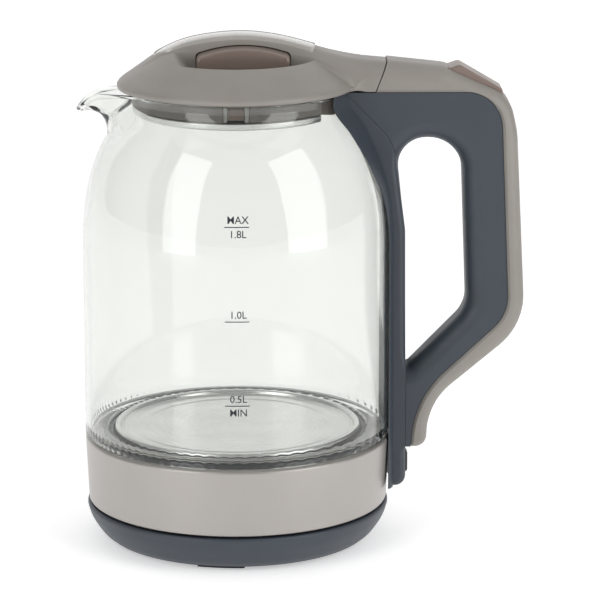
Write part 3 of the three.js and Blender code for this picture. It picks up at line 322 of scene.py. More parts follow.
def brass_contact():
    return turned_metal("brass_contact", (0.60, 0.40, 0.14), 0.28, 4000.0, 0.000006)


def satin_band():
    """Metallic lacquer: satin base with fine flakes, under a thin clear coat."""
    shader = Shader("satin_band")
    flakes = shader.node("ShaderNodeTexVoronoi", None, {"Vector": shader.place(), "Scale": 5200.0}, "Color")
    glint = shader.node("ShaderNodeSeparateColor", None, {0: flakes}, 0)
    drift = shader.spread(shader.noise(30.0, 4.0), 0.0, 1.0)
    rgb = colours().band
    return shader.surface({
        "Base Color": shader.mix(glint * 0.5 + drift * 0.5, tone(rgb, 0.95), tone(rgb, 1.06)),
        "Roughness": shader.spread(shader.noise(120.0, 5.0), -0.03, 0.03) + 0.38,
        "Normal": shader.bump(glint, 0.000004),
        "Metallic": 0.55,
        "Coat Weight": 0.25,
        "Coat Roughness": 0.3,
    })


def clear_glass():
    shader = Shader("glass")
    waves = shader.noise(14.0, 1.0)
    depth = {"Color": (0.76, 0.77, 0.755, 1.0), "Density": 40.0}
    body = shader.node("ShaderNodeVolumeAbsorption", None, depth)
    return shader.surface({
        "Base Color": (*colours().glass, 1.0),
        "Roughness": 0.0,
        "Normal": shader.bump(waves, 0.00012, 0.12),
        "Transmission Weight": 1.0,
        "IOR": 1.47,
    }, body)


FINISHES = {
    "dark_plastic": dark_plastic,
    "light_plastic": light_plastic,
    "bronze_plastic": bronze_plastic,
    "gloss_trim": gloss_trim,
    "pale_plastic": pale_plastic,
    "black_plastic": black_plastic,
    "rubber_foot": rubber_foot,
    "brass_contact": brass_contact,
    "steel": steel,
    "aluminium": aluminium,
    "silicone": silicone,
    "satin_band": satin_band,
    "glass": clear_glass,
    "figure_ink": figure_ink,
}
made_finishes = {}


def finish(slot):
    """The material of a record slot, made once."""
    if slot not in made_finishes:
        made_finishes[slot] = FINISHES[slot]()
    return made_finishes[slot]


# ---------------------------------------------------------------- mesh helpers, in mm from the jug's axis
WELD = 0.001 * MM
WIDE = 60


def mesh_object(name, points, faces):
    placed = [(x * MM + JUG_X, y * MM, z * MM) for x, y, z in points]
    mesh = bpy.data.meshes.new(name)
    mesh.from_pydata(placed, [], faces)
    work = bmesh.new()
    work.from_mesh(mesh)
    bmesh.ops.remove_doubles(work, verts=work.verts, dist=WELD)
    bmesh.ops.recalc_face_normals(work, faces=work.faces)
    work.to_mesh(mesh)
    work.free()
    made = bpy.data.objects.new(name, mesh)
    bpy.context.scene.collection.objects.link(made)
    return made


def applied(made):
    """Replaces an object's mesh by what its modifiers make of it."""
    graph = bpy.context.evaluated_depsgraph_get()
    mesh = bpy.data.meshes.new_from_object(made.evaluated_get(graph))
    made.modifiers.clear()
    made.data = mesh
    return made


def joined(made, tool, operation):
    """Applies one Boolean step and uses up its tool."""
    step = made.modifiers.new(operation.title(), "BOOLEAN")
    step.operation = operation
    step.solver = "MANIFOLD"
    step.object = tool
    applied(made)
    bpy.data.objects.remove(tool)
    return made


def cut(made, *tools):
    for tool in tools:
        joined(made, tool, "DIFFERENCE")
    return made


def common(made, tool):
    return joined(made, tool, "INTERSECT")


def piece(made, body, slot, *nodes, angle=32, weighted=True):
    """Shades a finished piece, gives it its material and hangs it on its body."""
    mesh = made.data
    mesh.shade_smooth()
    mesh.set_sharp_from_angle(angle=math.radians(angle))
    mesh.materials.clear()
    mesh.materials.append(finish(slot))
    if weighted:
        made.modifiers.new("Weighted Normal", "WEIGHTED_NORMAL").keep_sharp = True
    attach(made, body)
    if nodes:
        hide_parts(*nodes)
    return made


def grid_faces(rows, columns, closed_rows=False, closed_columns=True):
    """Quads over a grid of points that is stored row after row."""
    faces = []
    for row in range(rows if closed_rows else rows - 1):
        following = (row + 1) % rows
        for column in range(columns if closed_columns else columns - 1):
            after = (column + 1) % columns
            faces.append((row * columns + column, row * columns + after,
                          following * columns + after, following * columns + column))
    return faces


def lathe(name, profile, sides=None, warp=None):
    """Turns a closed outline of (radius, height) round the jug's axis; warp moves each finished point."""
    sides = sides or sizes().lathe_sides
    points = []
    for radius, height in profile:
        for side in range(sides):
            angle = 2 * math.pi * side / sides
            point = (radius * math.cos(angle), radius * math.sin(angle), height)
            points.append(warp(*point) if warp else point)
    return mesh_object(name, points, grid_faces(len(profile), sides, closed_rows=True))


def arc(centre, radius, start, end, steps=6):
    """Points on an arc between two angles in degrees, both ends included."""
    angles = np.radians(np.linspace(start, end, steps + 1))
    return [(centre[0] + radius * math.cos(a), centre[1] + radius * math.sin(a)) for a in angles]


def softened(corners, steps=5):
    """A closed outline of (x, z, radius) corners with each corner rounded by its radius."""
    points = []
    count = len(corners)
    for i, (x, z, *rest) in enumerate(corners):
        radius = rest[0] if rest else 0
        here = Vector((x, z))
        if not radius:
            points.append((x, z))
            continue
        to_before = (Vector(corners[i - 1][:2]) - here).normalized()
        to_after = (Vector(corners[(i + 1) % count][:2]) - here).normalized()
        half = to_before.angle(to_after) / 2
        reach = radius / math.tan(half)
        start = here + to_before * reach
        centre = here + (to_before + to_after).normalized() * (radius / math.sin(half))
        turn = math.pi - 2 * half
        side = 1 if to_before.cross(to_after) > 0 else -1
        arm = start - centre
        for step in range(steps + 1):
            angle = side * -turn * step / steps
            spun = Vector((arm.x * math.cos(angle) - arm.y * math.sin(angle),
                           arm.x * math.sin(angle) + arm.y * math.cos(angle)))
            points.append(tuple(centre + spun))
    return points


def curve_through(points, steps):
    """A smooth curve through (x, z) points, as centripetal Catmull-Rom spans."""
    places = [Vector(p) for p in points]
    places = [2 * places[0] - places[1], *places, 2 * places[-1] - places[-2]]
    found = []
    for p0, p1, p2, p3 in zip(places, places[1:], places[2:], places[3:]):
        t1 = (p1 - p0).length ** 0.5
        t2 = t1 + (p2 - p1).length ** 0.5
        t3 = t2 + (p3 - p2).length ** 0.5
        for step in range(steps):
            t = t1 + (t2 - t1) * step / steps
            a1 = p0 * ((t1 - t) / t1) + p1 * (t / t1)
            a2 = p1 * ((t2 - t) / (t2 - t1)) + p2 * ((t - t1) / (t2 - t1))
            a3 = p2 * ((t3 - t) / (t3 - t2)) + p3 * ((t - t2) / (t3 - t2))
            b1 = a1 * ((t2 - t) / t2) + a2 * (t / t2)
            b2 = a2 * ((t3 - t) / (t3 - t1)) + a3 * ((t - t1) / (t3 - t1))
            found.append(tuple(b1 * ((t2 - t) / (t2 - t1)) + b2 * ((t - t1) / (t2 - t1))))
    found.append(tuple(places[-2]))
    return found


def divided(points, longest):
    """A closed outline with its long sides divided into equal steps."""
    found = []
    for here, after in zip(points, points[1:] + points[:1]):
        count = max(1, math.ceil(math.dist(here, after) / longest))
        found += [(here[0] + (after[0] - here[0]) * i / count, here[1] + (after[1] - here[1]) * i / count)
                  for i in range(count)]
    return found


def normals(points):
    """Outward unit normals of a closed outline."""
    flat = np.array(points, float)
    along = np.roll(flat, -1, 0) - np.roll(flat, 1, 0)
    along /= np.linalg.norm(along, axis=1)[:, None]
    area = np.sum(flat[:, 0] * np.roll(flat[:, 1], -1) - np.roll(flat[:, 0], -1) * flat[:, 1])
    side = 1 if area > 0 else -1
    return np.stack([along[:, 1], -along[:, 0]], 1) * side


def grown(points, by):
    return [tuple(p) for p in np.array(points) + normals(points) * by]


def across(name, points, stations, share=None):
    """Carries an (x, z) outline across Y through (y, inset) stations; share scales the edge at each point."""
    flat = np.array(points, float)
    outward = normals(points)
    share = np.ones(len(points)) if share is None else np.array(share)
    half = max(abs(y) for y, _ in stations)
    found = []
    for y, inset in stations:
        side = 1 if y > 0 else -1
        depth = side * (half - (half - abs(y)) * share)
        moved = flat - outward * (inset * share)[:, None]
        found += [(x, d, z) for (x, z), d in zip(moved, depth)]
    count = len(points)
    faces = grid_faces(len(stations), count)
    last = (len(stations) - 1) * count
    faces += [tuple(range(count))[::-1], tuple(last + i for i in range(count))]
    return mesh_object(name, found, faces)


def rounded_stations(half, radius, steps=6):
    """Stations across Y with a quarter-round on both edges; a negative radius flares the ends."""
    size = abs(radius)
    angles = np.radians(np.linspace(90, 0, steps + 1))
    sign = 1 if radius > 0 else -1
    low = [(-(half - size + size * math.sin(a)), sign * size * (1 - math.cos(a))) for a in angles]
    return low + [(-y, inset) for y, inset in reversed(low)]


def prism(name, points, half):
    return across(name, points, [(-half, 0), (half, 0)])


def box(name, xs, ys, zs):
    """A cutting block between two places along each axis."""
    corners = [(xs[0], zs[0]), (xs[1], zs[0]), (xs[1], zs[1]), (xs[0], zs[1])]
    return across(name, corners, [(y, 0) for y in ys])


def on_side(made, side):
    """Moves a shape made at +Y to the given side of the middle."""
    for vertex in made.data.vertices:
        vertex.co.y *= side
    if side < 0:
        made.data.flip_normals()
    return made


def smoothstep(low, high, value):
    share = np.clip((value - low) / (high - low), 0, 1)
    return share * share * (3 - 2 * share)


# ---------------------------------------------------------------- glass
SHOULDER_START = 135.0
SPOUT_ROOT = 195.0
SPOUT_HALF_ANGLE = 12.3
SPOUT_CROWDING = 0.45
SPOUT_DROP = 9.4


def shoulder_curve():
    neck = sizes().neck_radius / MM
    side = GLASS_SIDE
    return curve_through([
        (side, SHOULDER_START), (side - 0.4, 153), (side - 2.6, 170), (side - 8, 187), (side - 14.3, 198),
        (neck + 1.8, 207), (neck + 0.1, 210.5), (neck, GLASS_HIGH - 0.9),
    ], 8)


def glass_radius(height):
    """The glass's outside radius at a height."""
    radii, heights = zip(*shoulder_curve())
    return float(np.interp(height, heights, radii))


def bezier(p0, p1, p2, p3, t):
    s = 1 - t
    weights = (s ** 3, 3 * s * s * t, 3 * s * t * t, t ** 3)
    slopes = (-3 * s * s, 3 * s * s - 6 * s * t, 6 * s * t - 3 * t * t, 3 * t * t)
    at = [sum(w * p[i] for w, p in zip(weights, (p0, p1, p2, p3))) for i in (0, 1)]
    along = Vector([sum(w * p[i] for w, p in zip(slopes, (p0, p1, p2, p3))) for i in (0, 1)]).normalized()
    return at, along


def spout_warp(x, y, z):
    """Draws the neck out into the pouring lip, towards -X."""
    share = min(max((z - SPOUT_ROOT) / (GLASS_HIGH - SPOUT_ROOT), 0), 1)
    radius = math.hypot(x, y)
    even = math.atan2(-y, -x)
    angle = even - SPOUT_CROWDING * math.sin(even)
    if share == 0:
        return -radius * math.cos(angle), -radius * math.sin(angle), z
    inward = min(max(glass_radius(z) - radius, 0), sizes().glass_wall / MM)
    under = ((60.4, SPOUT_ROOT), (60.2, 205.5), (64.5, 202.6), (SPOUT_TIP - 0.3, GLASS_HIGH - SPOUT_DROP))
    at, along = bezier(*under, share)
    reach = math.exp(-((math.degrees(angle) / SPOUT_HALF_ANGLE) ** 2))
    dip = max(0, (reach - 0.6) / 0.4) ** 1.7
    pulled = radius + (at[0] - inward * along.y - radius) * reach
    blend = share ** 6
    sink = reach * share * (1 - blend) + dip * blend
    height = z + (at[1] + inward * along.x - z) * sink
    return -pulled * math.cos(angle), -pulled * math.sin(angle), height


def glass_profile():
    """The closed outline of the glass: ring floor, heel, wall, shoulder and a fire-polished rim."""
    wall = sizes().glass_wall / MM
    skin = 0.15
    outer = GLASS_SIDE - skin
    inner = GLASS_SIDE - wall
    floor_inner = sizes().floor_ring_inner / MM
    floor_top = GLASS_LOW + 3.4
    outside = [(r - skin, z) for r, z in shoulder_curve()]
    wall_side = [(outer, z) for z in np.linspace(GLASS_LOW + 3.2, SHOULDER_START - 4, 14)]
    inside = []
    for (r0, z0), (r1, z1) in zip(shoulder_curve(), shoulder_curve()[1:]):
        along = Vector((r1 - r0, z1 - z0)).normalized()
        inside.append((r0 - wall * along.y, z0 + wall * along.x))
    neck_inner = sizes().neck_radius / MM - wall
    rim = arc((neck_inner + wall / 2 - skin / 2, GLASS_HIGH - wall / 2), (wall - skin) / 2, 0, 180, 6)
    return [
        *arc((floor_inner + 1, GLASS_LOW + 1), 1, 180, 270, 3),
        *arc((outer - 2.4, GLASS_LOW + 2.4), 2.4, -90, 0, 5),
        *wall_side,
        *outside,
        *rim,
        *reversed(inside),
        *[(inner, z) for z in np.linspace(SHOULDER_START - 4, floor_top + 4, 14)],
        *arc((inner - 2.6, floor_top + 2.6), 2.6, 0, -90, 5),
        *arc((floor_inner + 0.9, floor_top - 0.9), 0.9, 90, 180, 3),
    ]


def glass_warp(x, y, z):
    """The spout, and fine flutes pressed into the outside of the foot."""
    fluted = GLASS_LOW + 3.0
    if z < fluted and math.hypot(x, y) > GLASS_SIDE - 4:
        depth = 0.55 * (0.5 + 0.5 * math.cos(math.atan2(y, x) * sizes().flutes))
        share = 1 - depth / GLASS_SIDE
        return spout_warp(x * share, y * share, z)
    return spout_warp(x, y, z)


def build_glass():
    jug = lathe("glass_body", glass_profile(), sides=sizes().flutes * 6, warp=glass_warp)
    return piece(jug, "jug", "glass", "glass_jug", angle=60, weighted=False)


def glass_plug(offset):
    """A solid that fills the jug to a distance outside its glass, to cut handle pieces by."""
    outside = [(r + offset, z) for r, z in shoulder_curve()]
    neck = outside[-1][0]
    profile = [(0.01, 0), (GLASS_SIDE + offset, 0), *outside, (neck, 260), (0.01, 260)]
    return lathe("glass_fit", profile)


# ---------------------------------------------------------------- level scale
SCALE_MARKS = [(164.7, "MAX", "1.8L"), (121.3, "1.0L", ""), (81.9, "0.5L", "MIN")]
MARK_HALF_WIDTH = 5.6
MARK_HALF_THICKNESS = 0.22
PRINT_RISE = 0.05
FIGURE_BOLDNESS = 0.006
FIGURE_WIDTH = 0.97
FIGURE_CAPITAL = 0.7
FIGURE_GAP_ABOVE = 1.6
FIGURE_GAP_BELOW = 1.5
FIGURE_SHIFT = 0.5


def flat_text(words):
    """The outline mesh of a line of figures, centred, one unit high."""
    font = bpy.data.curves.new("figures", "FONT")
    font.body = words
    font.align_x = "CENTER"
    font.size = 1.0
    font.resolution_u = 4
    font.offset = FIGURE_BOLDNESS
    holder = bpy.data.objects.new("figures", font)
    bpy.context.scene.collection.objects.link(holder)
    graph = bpy.context.evaluated_depsgraph_get()
    mesh = bpy.data.meshes.new_from_object(holder.evaluated_get(graph))
    points = [tuple(v.co) for v in mesh.vertices]
    faces = [tuple(p.vertices) for p in mesh.polygons]
    bpy.data.objects.remove(holder)
    bpy.data.meshes.remove(mesh)
    return points, faces


def build_scale():
    size = sizes().print_height / MM / FIGURE_CAPITAL
    points, faces = [], []

    def wrap(flat, shapes, height):
        start = len(points)
        for x, z in flat:
            radius = glass_radius(height + z) - PRINT_RISE
            angle = x / radius
            points.append((radius * math.sin(angle), -radius * math.cos(angle), height + z))
        faces.extend(tuple(start + i for i in shape) for shape in shapes)

    for height, above, below in SCALE_MARKS:
        across_line = np.linspace(-MARK_HALF_WIDTH, MARK_HALF_WIDTH, 9)
        line = [(x, z) for z in (-MARK_HALF_THICKNESS, MARK_HALF_THICKNESS) for x in across_line]
        wrap(line, grid_faces(2, 9, closed_columns=False), height)
        drop = FIGURE_GAP_BELOW + size * FIGURE_CAPITAL
        for words, rise in ((above, FIGURE_GAP_ABOVE), (below, -drop)):
            if words:
                flat, shapes = flat_text(words)
                placed = [(x * size * FIGURE_WIDTH + FIGURE_SHIFT, z * size) for x, z, _ in flat]
                wrap(placed, shapes, height + rise)
    marks = mesh_object("level_scale", points, faces)
    thick = marks.modifiers.new("Ink", "SOLIDIFY")
    thick.thickness = 0.05 * MM
    thick.offset = 0
    applied(marks)
    return piece(marks, "jug", "figure_ink", weighted=False)


# ---------------------------------------------------------------- jug foot and power base
def build_foot_parts():
    lip = 1.5
    plate = sizes().plate_radius / MM
    top = span("heating_plate", 2)[1]
    low = span("heating_plate", 2)[0]
    face = top - 1.7
    profile = [
        (0.01, low), (plate, low), *arc((plate, low + lip), lip - 0.05, -90, 180, 12),
        *arc((plate - lip - 2.2, face + 0.9), 0.9, 0, -90, 3),
        (plate - 7, face), (plate - 7.6, face + 0.35), (plate - 12, face + 0.35), (plate - 12.8, face),
        (0.01, face),
    ]
    piece(lathe("heating_plate_fine", profile), "jug", "steel", "heating_plate")
    inner, outer = plate + lip + 0.4, sizes().floor_ring_inner / MM - 0.4
    seal_low, seal_high = span("plate_seal", 2)
    middle = (inner + outer) / 2
    half = (outer - inner) / 2
    bead = arc((middle, seal_high - half), half, 0, 180, 8)
    seal = lathe("plate_seal_fine", [(inner, seal_low), (outer, seal_low), *bead])
    piece(seal, "jug", "silicone", "plate_seal")


def build_band():
    wall = 1.5
    round_top = 1.3
    round_low = 0.9
    low_side = BAND_SIDE - 1.3
    profile = [
        (low_side - wall, BAND_LOW),
        *arc((low_side - round_low, BAND_LOW + round_low), round_low, -90, 0, 4),
        *arc((BAND_SIDE - round_top, BAND_HIGH - round_top), round_top, 0, 90, 6),
        (BAND_SIDE - 8, BAND_HIGH),
        (BAND_SIDE - 8, BAND_HIGH - wall),
        (BAND_SIDE - wall - 0.4, BAND_HIGH - wall - 0.4),
    ]
    piece(lathe("lower_band_fine", profile), "jug", "satin_band", "lower_band")


def build_power_base():
    rim = BASE_SIDE
    side = [(rim - 9.3, BASE_LOW), *curve_through([
        (rim - 9.1, BASE_LOW + 0.3), (rim - 6.6, BASE_LOW + 2.2), (rim - 3.7, BASE_LOW + 6),
        (rim - 1.3, BASE_LOW + 10.2), (rim, BASE_LOW + 14.3)], 5)]
    dish_side, dish_floor = rim - 5.8, BASE_HIGH - 3.5
    hole = span("connector_tower", 1)[1] + 0.4
    profile = [
        (rim - 11.6, BASE_LOW), *side,
        *arc((rim - 1.2, BASE_HIGH - 1.2), 1.2, 10, 90, 4),
        *arc((dish_side + 1, BASE_HIGH - 1), 1, 90, 180, 4),
        *arc((dish_side - 1.2, dish_floor + 1.2), 1.2, 0, -90, 4),
        (hole + 8, dish_floor), (hole + 7.4, dish_floor + 0.5), (hole + 1.2, dish_floor + 0.5),
        (hole, dish_floor + 0.2), (hole, dish_floor - 2.5), (dish_side - 1.5, dish_floor - 2.5),
        (rim - 11.6, BASE_LOW + 7),
    ]
    base = lathe("base_cover_fine", profile)
    gland_low, gland_high = span("cord_gland", 2)
    angle = math.radians(82)
    slot = box("gland_slot", (-6, 6), (60, 80), (gland_low - 0.3, gland_high + 0.3))
    for vertex in slot.data.vertices:
        x, y = vertex.co.x - JUG_X, vertex.co.y
        turn = angle - math.pi / 2
        vertex.co.x = JUG_X + x * math.cos(turn) - y * math.sin(turn)
        vertex.co.y = x * math.sin(turn) + y * math.cos(turn)
    cut(base, slot)
    piece(base, "power_base", "dark_plastic", "base_cover")


# ---------------------------------------------------------------- lid
SEAM_FOOT = 216.4
SEAM_X = 65.0
SEAM_SLOPE = 0.39
SEAM_GAP = 0.5
LID_LOW = 216.7
TONGUE_LOW = 215.9
TRIM_HALF_WIDTH = 8.8
ARCH_POINTS = [(-75, 190), (-56, 215), (-45, 226.6), (-36.8, 233.2), (-23.3, 239.3), (0, 242.6),
               (17.7, 241.2), (33.6, 237.4), (46.1, 233.6), (56, 231.6), (71.6, 230), (78, 229.4)]


def arch_height(x):
    found = np.array(curve_through(ARCH_POINTS, 10))
    return np.interp(x, found[:, 0], found[:, 1])


def dome_height(radius):
    edge = LID_SIDE
    found = np.array(curve_through([
        (-8, 237.5), (0, 237.6), (24, 236.2), (34.4, 233.1), (39.1, 230.5), (42.1, 228.7), (45.8, 226.3),
        (48.7, 224.2), (51.0, 222.6), (52.6, 221.5), (edge - 0.9, 219.9), (edge, 218.6), (edge + 12, 170),
    ], 8))
    return np.interp(radius, found[:, 0], found[:, 1])


def either(a, b, softness):
    """The higher of two heights, blended where they come within the softness of each other."""
    near = np.clip(softness - np.abs(a - b), 0, None) / softness
    return np.maximum(a, b) + near * near * softness / 4


def lid_height(x, y):
    """The top of the lid's cover: dome, arch and tongue, with the recess scooped out on both sides."""
    x, y = np.asarray(x, float), np.asarray(y, float)
    radius, side = np.hypot(x, y), np.abs(y)
    half = 10.8 + (sizes().tongue_half_width / MM - 10.8) * smoothstep(34, 46, x)
    rounding = 4.5 + 3.5 * smoothstep(30, 46, x)
    over = np.clip((side - half + rounding) / rounding, 0, 1)
    crown = 1.2 * np.clip(side / 9, 0, 1.2) ** 2 * smoothstep(50, 34, x)
    drop = rounding * (1 - np.sqrt(1 - over ** 2)) + np.clip(side - half, 0, None) * 3
    ridge = arch_height(x) - 0.75 - crown - drop
    surface = either(dome_height(radius), ridge, 2.0 + 4.0 * smoothstep(30, 44, x))
    reach = np.interp(side, [9.2, 9.8, 10.5, 10.9, 11.2], [0, 0.14, 0.3, 0.9, 1])
    middle = x - BUTTON_X
    reach = reach * (1 - smoothstep(24, 33, -middle)) * (1 - smoothstep(27, 35, middle))
    edge = sizes().dome_edge / MM
    reach = reach * np.interp(radius, [edge - 0.5, edge - 0.05], [1, 0])
    floor = sizes().recess_floor / MM
    return surface + (floor - surface) * reach


def lid_outline(angle):
    """How far the lid reaches at an angle from +X: a circle that flows into the tongue."""
    half = sizes().tongue_half_width / MM
    low, high = 40.0, 90.0
    blend = 7.0
    for _ in range(40):
        radius = (low + high) / 2
        x, y = radius * math.cos(angle), abs(radius * math.sin(angle))
        seam = SEAM_X - SEAM_GAP / 2 + (float(lid_height(x, y)) - SEAM_FOOT) * SEAM_SLOPE if x > 58 else 80.0
        from_round = radius - LID_SIDE
        from_tongue = max(y - half, x - seam) if x > 0 else 99.0
        near = max(blend - abs(from_round - from_tongue), 0) / blend
        if min(from_round, from_tongue) - near * near * blend / 4 < 0:
            low = radius
        else:
            high = radius
    return low


def lid_rows(edge):
    """Places across the lid, close together where the arch's walls and the tongue's edges run."""
    walls = [8.6, 8.9, 9.2, 9.5, 9.8, 10.15, 10.5, 10.7, 10.9, 11.05, 11.2, 11.5, 12.0, 12.5, 13.1, 13.7]
    near = [*np.arange(0, 3, 0.75), *np.arange(3, 8.6, 0.45), *walls]
    start = math.asin(14.4 / edge)
    far = [edge * math.sin(a) for a in np.linspace(start, math.radians(88.2), 40)]
    half = [*near, *far]
    return [-y for y in reversed(half[1:])] + half


def lid_cover_mesh():
    edge = sizes().dome_edge / MM
    rows = lid_rows(edge)
    columns = 72
    points, faces = [], []
    for y in rows:
        chord = math.sqrt(edge ** 2 - y ** 2)
        xs = np.linspace(-chord, chord, columns)
        points += [(x, y, float(z)) for x, z in zip(xs, lid_height(xs, y))]
    faces += grid_faces(len(rows), columns, closed_columns=False)
    right = [row * columns + columns - 1 for row in range(len(rows))]
    left = [row * columns for row in reversed(range(len(rows)))]
    last_row = [(len(rows) - 1) * columns + i for i in range(columns - 1, -1, -1)]
    first_row = list(range(columns - 1))
    ring = right[:-1] + last_row + left[1:-1] + first_row
    angles = [math.atan2(points[i][1], points[i][0]) for i in ring]
    reaches = [lid_outline(a) for a in angles]
    previous = ring
    steps = 22

    def add_ring(places):
        nonlocal previous
        start = len(points)
        points.extend(places)
        fresh = list(range(start, start + len(places)))
        for i in range(len(fresh)):
            after = (i + 1) % len(fresh)
            faces.append((previous[i], previous[after], fresh[after], fresh[i]))
        previous = fresh

    for step in range(1, steps + 1):
        share = 1 - (1 - step / steps) ** 1.5
        places = []
        for i, angle, reach in zip(ring, angles, reaches):
            first = math.hypot(points[i][0], points[i][1])
            radius = first + (reach - first) * share
            x, y = radius * math.cos(angle), radius * math.sin(angle)
            places.append((x, y, max(float(lid_height(x, y)), 218.6)))
        add_ring(places)
    border = [points[i] for i in previous]
    flat = np.array([(x, y) for x, y, _ in border])
    outward = normals(flat)
    at_end = smoothstep(62.5, 64.5, flat[:, 0])

    def wall_ring(inset, heights):
        places = []
        for (x, y, z), (nx, ny), end, height in zip(border, outward, at_end, heights):
            lean = end * (z - height) * SEAM_SLOPE
            places.append((x - nx * inset - lean, y - ny * inset, height))
        return places

    low = LID_LOW + (TONGUE_LOW - LID_LOW) * smoothstep(56, 61, flat[:, 0])
    tops = np.array([z for _, _, z in border])
    ceiling = 224.8
    add_ring(wall_ring(0.0, np.minimum(tops - 0.3, low + 1.1)))
    add_ring(wall_ring(0.25, low + 0.35))
    add_ring(wall_ring(0.8, low))
    add_ring(wall_ring(2.2, low))
    add_ring(wall_ring(2.2, np.minimum(tops - 2.2, ceiling)))
    for share in (0.1, 0.3, 0.6, 1.0):
        places = []
        for (x, y, _), (nx, ny), end in zip(border, outward, at_end):
            start = np.array([x - nx * 2.2 - end * 2.0, y - ny * 2.2])
            target = start * (44 / np.linalg.norm(start))
            px, py = start + (target - start) * share
            places.append((px, py, float(min(lid_height(px, py) - 2.4, ceiling))))
        add_ring(places)
    faces.append(tuple(previous))
    return mesh_object("lid_cover_fine", points, faces)


def button_outline(by=0.0):
    """The button seen from the front: a low arch with rounded shoulders."""
    half = BUTTON_HALF + by
    top = BUTTON_TOP + by
    low = span("lid_button_front", 2)[0] - by
    drop = 3.9
    radius = (half * half + drop * drop) / (2 * drop)
    side = math.degrees(math.asin(half / radius))
    crown = arc((BUTTON_X, top - radius), radius, 90 - side + 4, 90 + side - 4, 14)
    corner = 2.4
    right = softened([(BUTTON_X + half, low), (BUTTON_X + half, top - drop + 0.2, corner), crown[0]], 4)[1:-1]
    left = [(2 * BUTTON_X - x, z) for x, z in reversed(right)]
    return [(BUTTON_X - half, low), (BUTTON_X + half, low), *right, *crown, *left]


def build_lid_cover():
    cover = lid_cover_mesh()
    for side in (-1, 1):
        tunnel = across("tunnel", button_outline(0.45), [(1.0, 0), (12.6, 0)])
        cut(cover, on_side(tunnel, side))
    piece(cover, "lid", "light_plastic", "lid_cover", angle=38)


def build_lid_trim():
    """The glossy insert: a crowned strip along the arch with a bead round its edge."""
    left, right = -38.3, 36.9
    along = [left + (right - left) * t for t in (1 - np.cos(np.linspace(0, math.pi, 61))) / 2]
    shares = [0, 0.2, 0.4, 0.6, 0.75, 0.86, 0.90, 0.935, 0.965, 0.985, 1.0]
    shares = [-s for s in reversed(shares[1:])] + shares
    points = []
    for x in along:
        from_left, from_right = (x - left) / 9.0, (right - x) / 1.6
        half = TRIM_HALF_WIDTH
        for from_end in (from_left, from_right):
            half *= math.sqrt(max(1e-4, 1 - (1 - min(from_end, 1)) ** 2))
        for share in shares:
            y = share * half
            edge = half - abs(y)
            bead = 0.55 * math.exp(-((edge - 0.6) / 0.4) ** 2) - 0.35 * math.exp(-((edge - 1.6) / 0.45) ** 2)
            fall = 0.9 * smoothstep(0.35, 0, edge)
            crown = 1.15 * (abs(y) / 9) ** 2
            points.append((x, y, min(float(arch_height(x)) - 0.3 - crown + bead - fall, ARCH_HIGH - 0.02)))
    rows, columns = len(along), len(shares)
    top = grid_faces(rows, columns, closed_columns=False)
    count = len(points)
    points += [(x, y, z - 1.3) for x, y, z in points]
    bottom = [tuple(reversed([i + count for i in face])) for face in top]
    border = list(range(columns))
    border += [r * columns + columns - 1 for r in range(1, rows)]
    border += [(rows - 1) * columns + c for c in range(columns - 2, -1, -1)]
    border += [r * columns for r in range(rows - 2, 0, -1)]
    sides = [(a, b, b + count, a + count) for a, b in zip(border, border[1:] + border[:1])]
    trim = mesh_object("lid_trim_fine", points, top + bottom + sides)
    piece(trim, "lid", "gloss_trim", "lid_trim", angle=50)


def build_buttons():
    inner, outer = 8.0, span("lid_button_back", 1)[1]
    rounding = 1.5
    for place, side in (("front", -1), ("back", 1)):
        angles = np.radians(np.linspace(0, 90, 6))
        edge = [(outer - rounding + rounding * math.sin(a), rounding * (1 - math.cos(a))) for a in angles]
        stations = [(inner, 0.0), *edge]
        button = across(f"lid_button_{place}_fine", button_outline(), stations)
        piece(on_side(button, side), f"{place}_button", "bronze_plastic", f"lid_button_{place}")


def build_lid_insides():
    wall = 1.8
    plug = lathe("lid_plug_fine", [
        (PAN_SIDE - wall, PLUG_LOW), (PAN_SIDE - 0.4, PLUG_LOW), (PAN_SIDE, PLUG_LOW + 0.4),
        (PAN_SIDE, 216.9), (LID_SIDE - 4.9, 216.9), (LID_SIDE - 4.9, 218.9),
        (PAN_SIDE - wall - 2, 218.9), (PAN_SIDE - wall, 217),
    ])
    deck = lathe("lid_deck", [(0.01, 217.0), (PAN_SIDE - wall + 0.5, 217.0), (PAN_SIDE - wall + 0.5, 218.8),
                              (0.01, 218.8)])
    joined(plug, deck, "UNION")
    cut(plug, box("rear", (PLUG_REAR, 80), (-70, 70), (200, 222)))
    for ys in ((-60, -PAN_SIDE + 6), (PAN_SIDE - 6, 60)):
        cut(plug, box("window", (-6, 6), ys, (PLUG_LOW - 1, 216.6)))
    chord = math.sqrt(PAN_SIDE ** 2 - PLUG_REAR ** 2)
    width = (-chord + 0.3, chord - 0.3)
    joined(plug, box("wall", (PLUG_REAR - wall, PLUG_REAR - 0.01), width, (PLUG_LOW, 217.5)), "UNION")
    piece(plug, "lid", "light_plastic", "lid_plug")
    pan_wall = 0.8
    pan = lathe("lid_pan_fine", [
        (0.01, PAN_LOW), *arc((PAN_SIDE - 1.1, PAN_LOW + 1.1), 1.1, -90, 0, 5), (PAN_SIDE, PAN_HIGH - 0.5),
        (PAN_SIDE - 0.5, PAN_HIGH), (PAN_SIDE - pan_wall, PAN_HIGH),
        (PAN_SIDE - pan_wall, PAN_LOW + pan_wall),
        (0.01, PAN_LOW + pan_wall),
    ])
    cut(pan, box("rear", (PLUG_REAR, 80), (-70, 70), (200, 222)))
    depth = (PLUG_REAR - pan_wall, PLUG_REAR - 0.01)
    joined(pan, box("wall", depth, width, (PAN_LOW + 0.2, PAN_HIGH)), "UNION")
    piece(pan, "lid", "steel", "lid_pan")


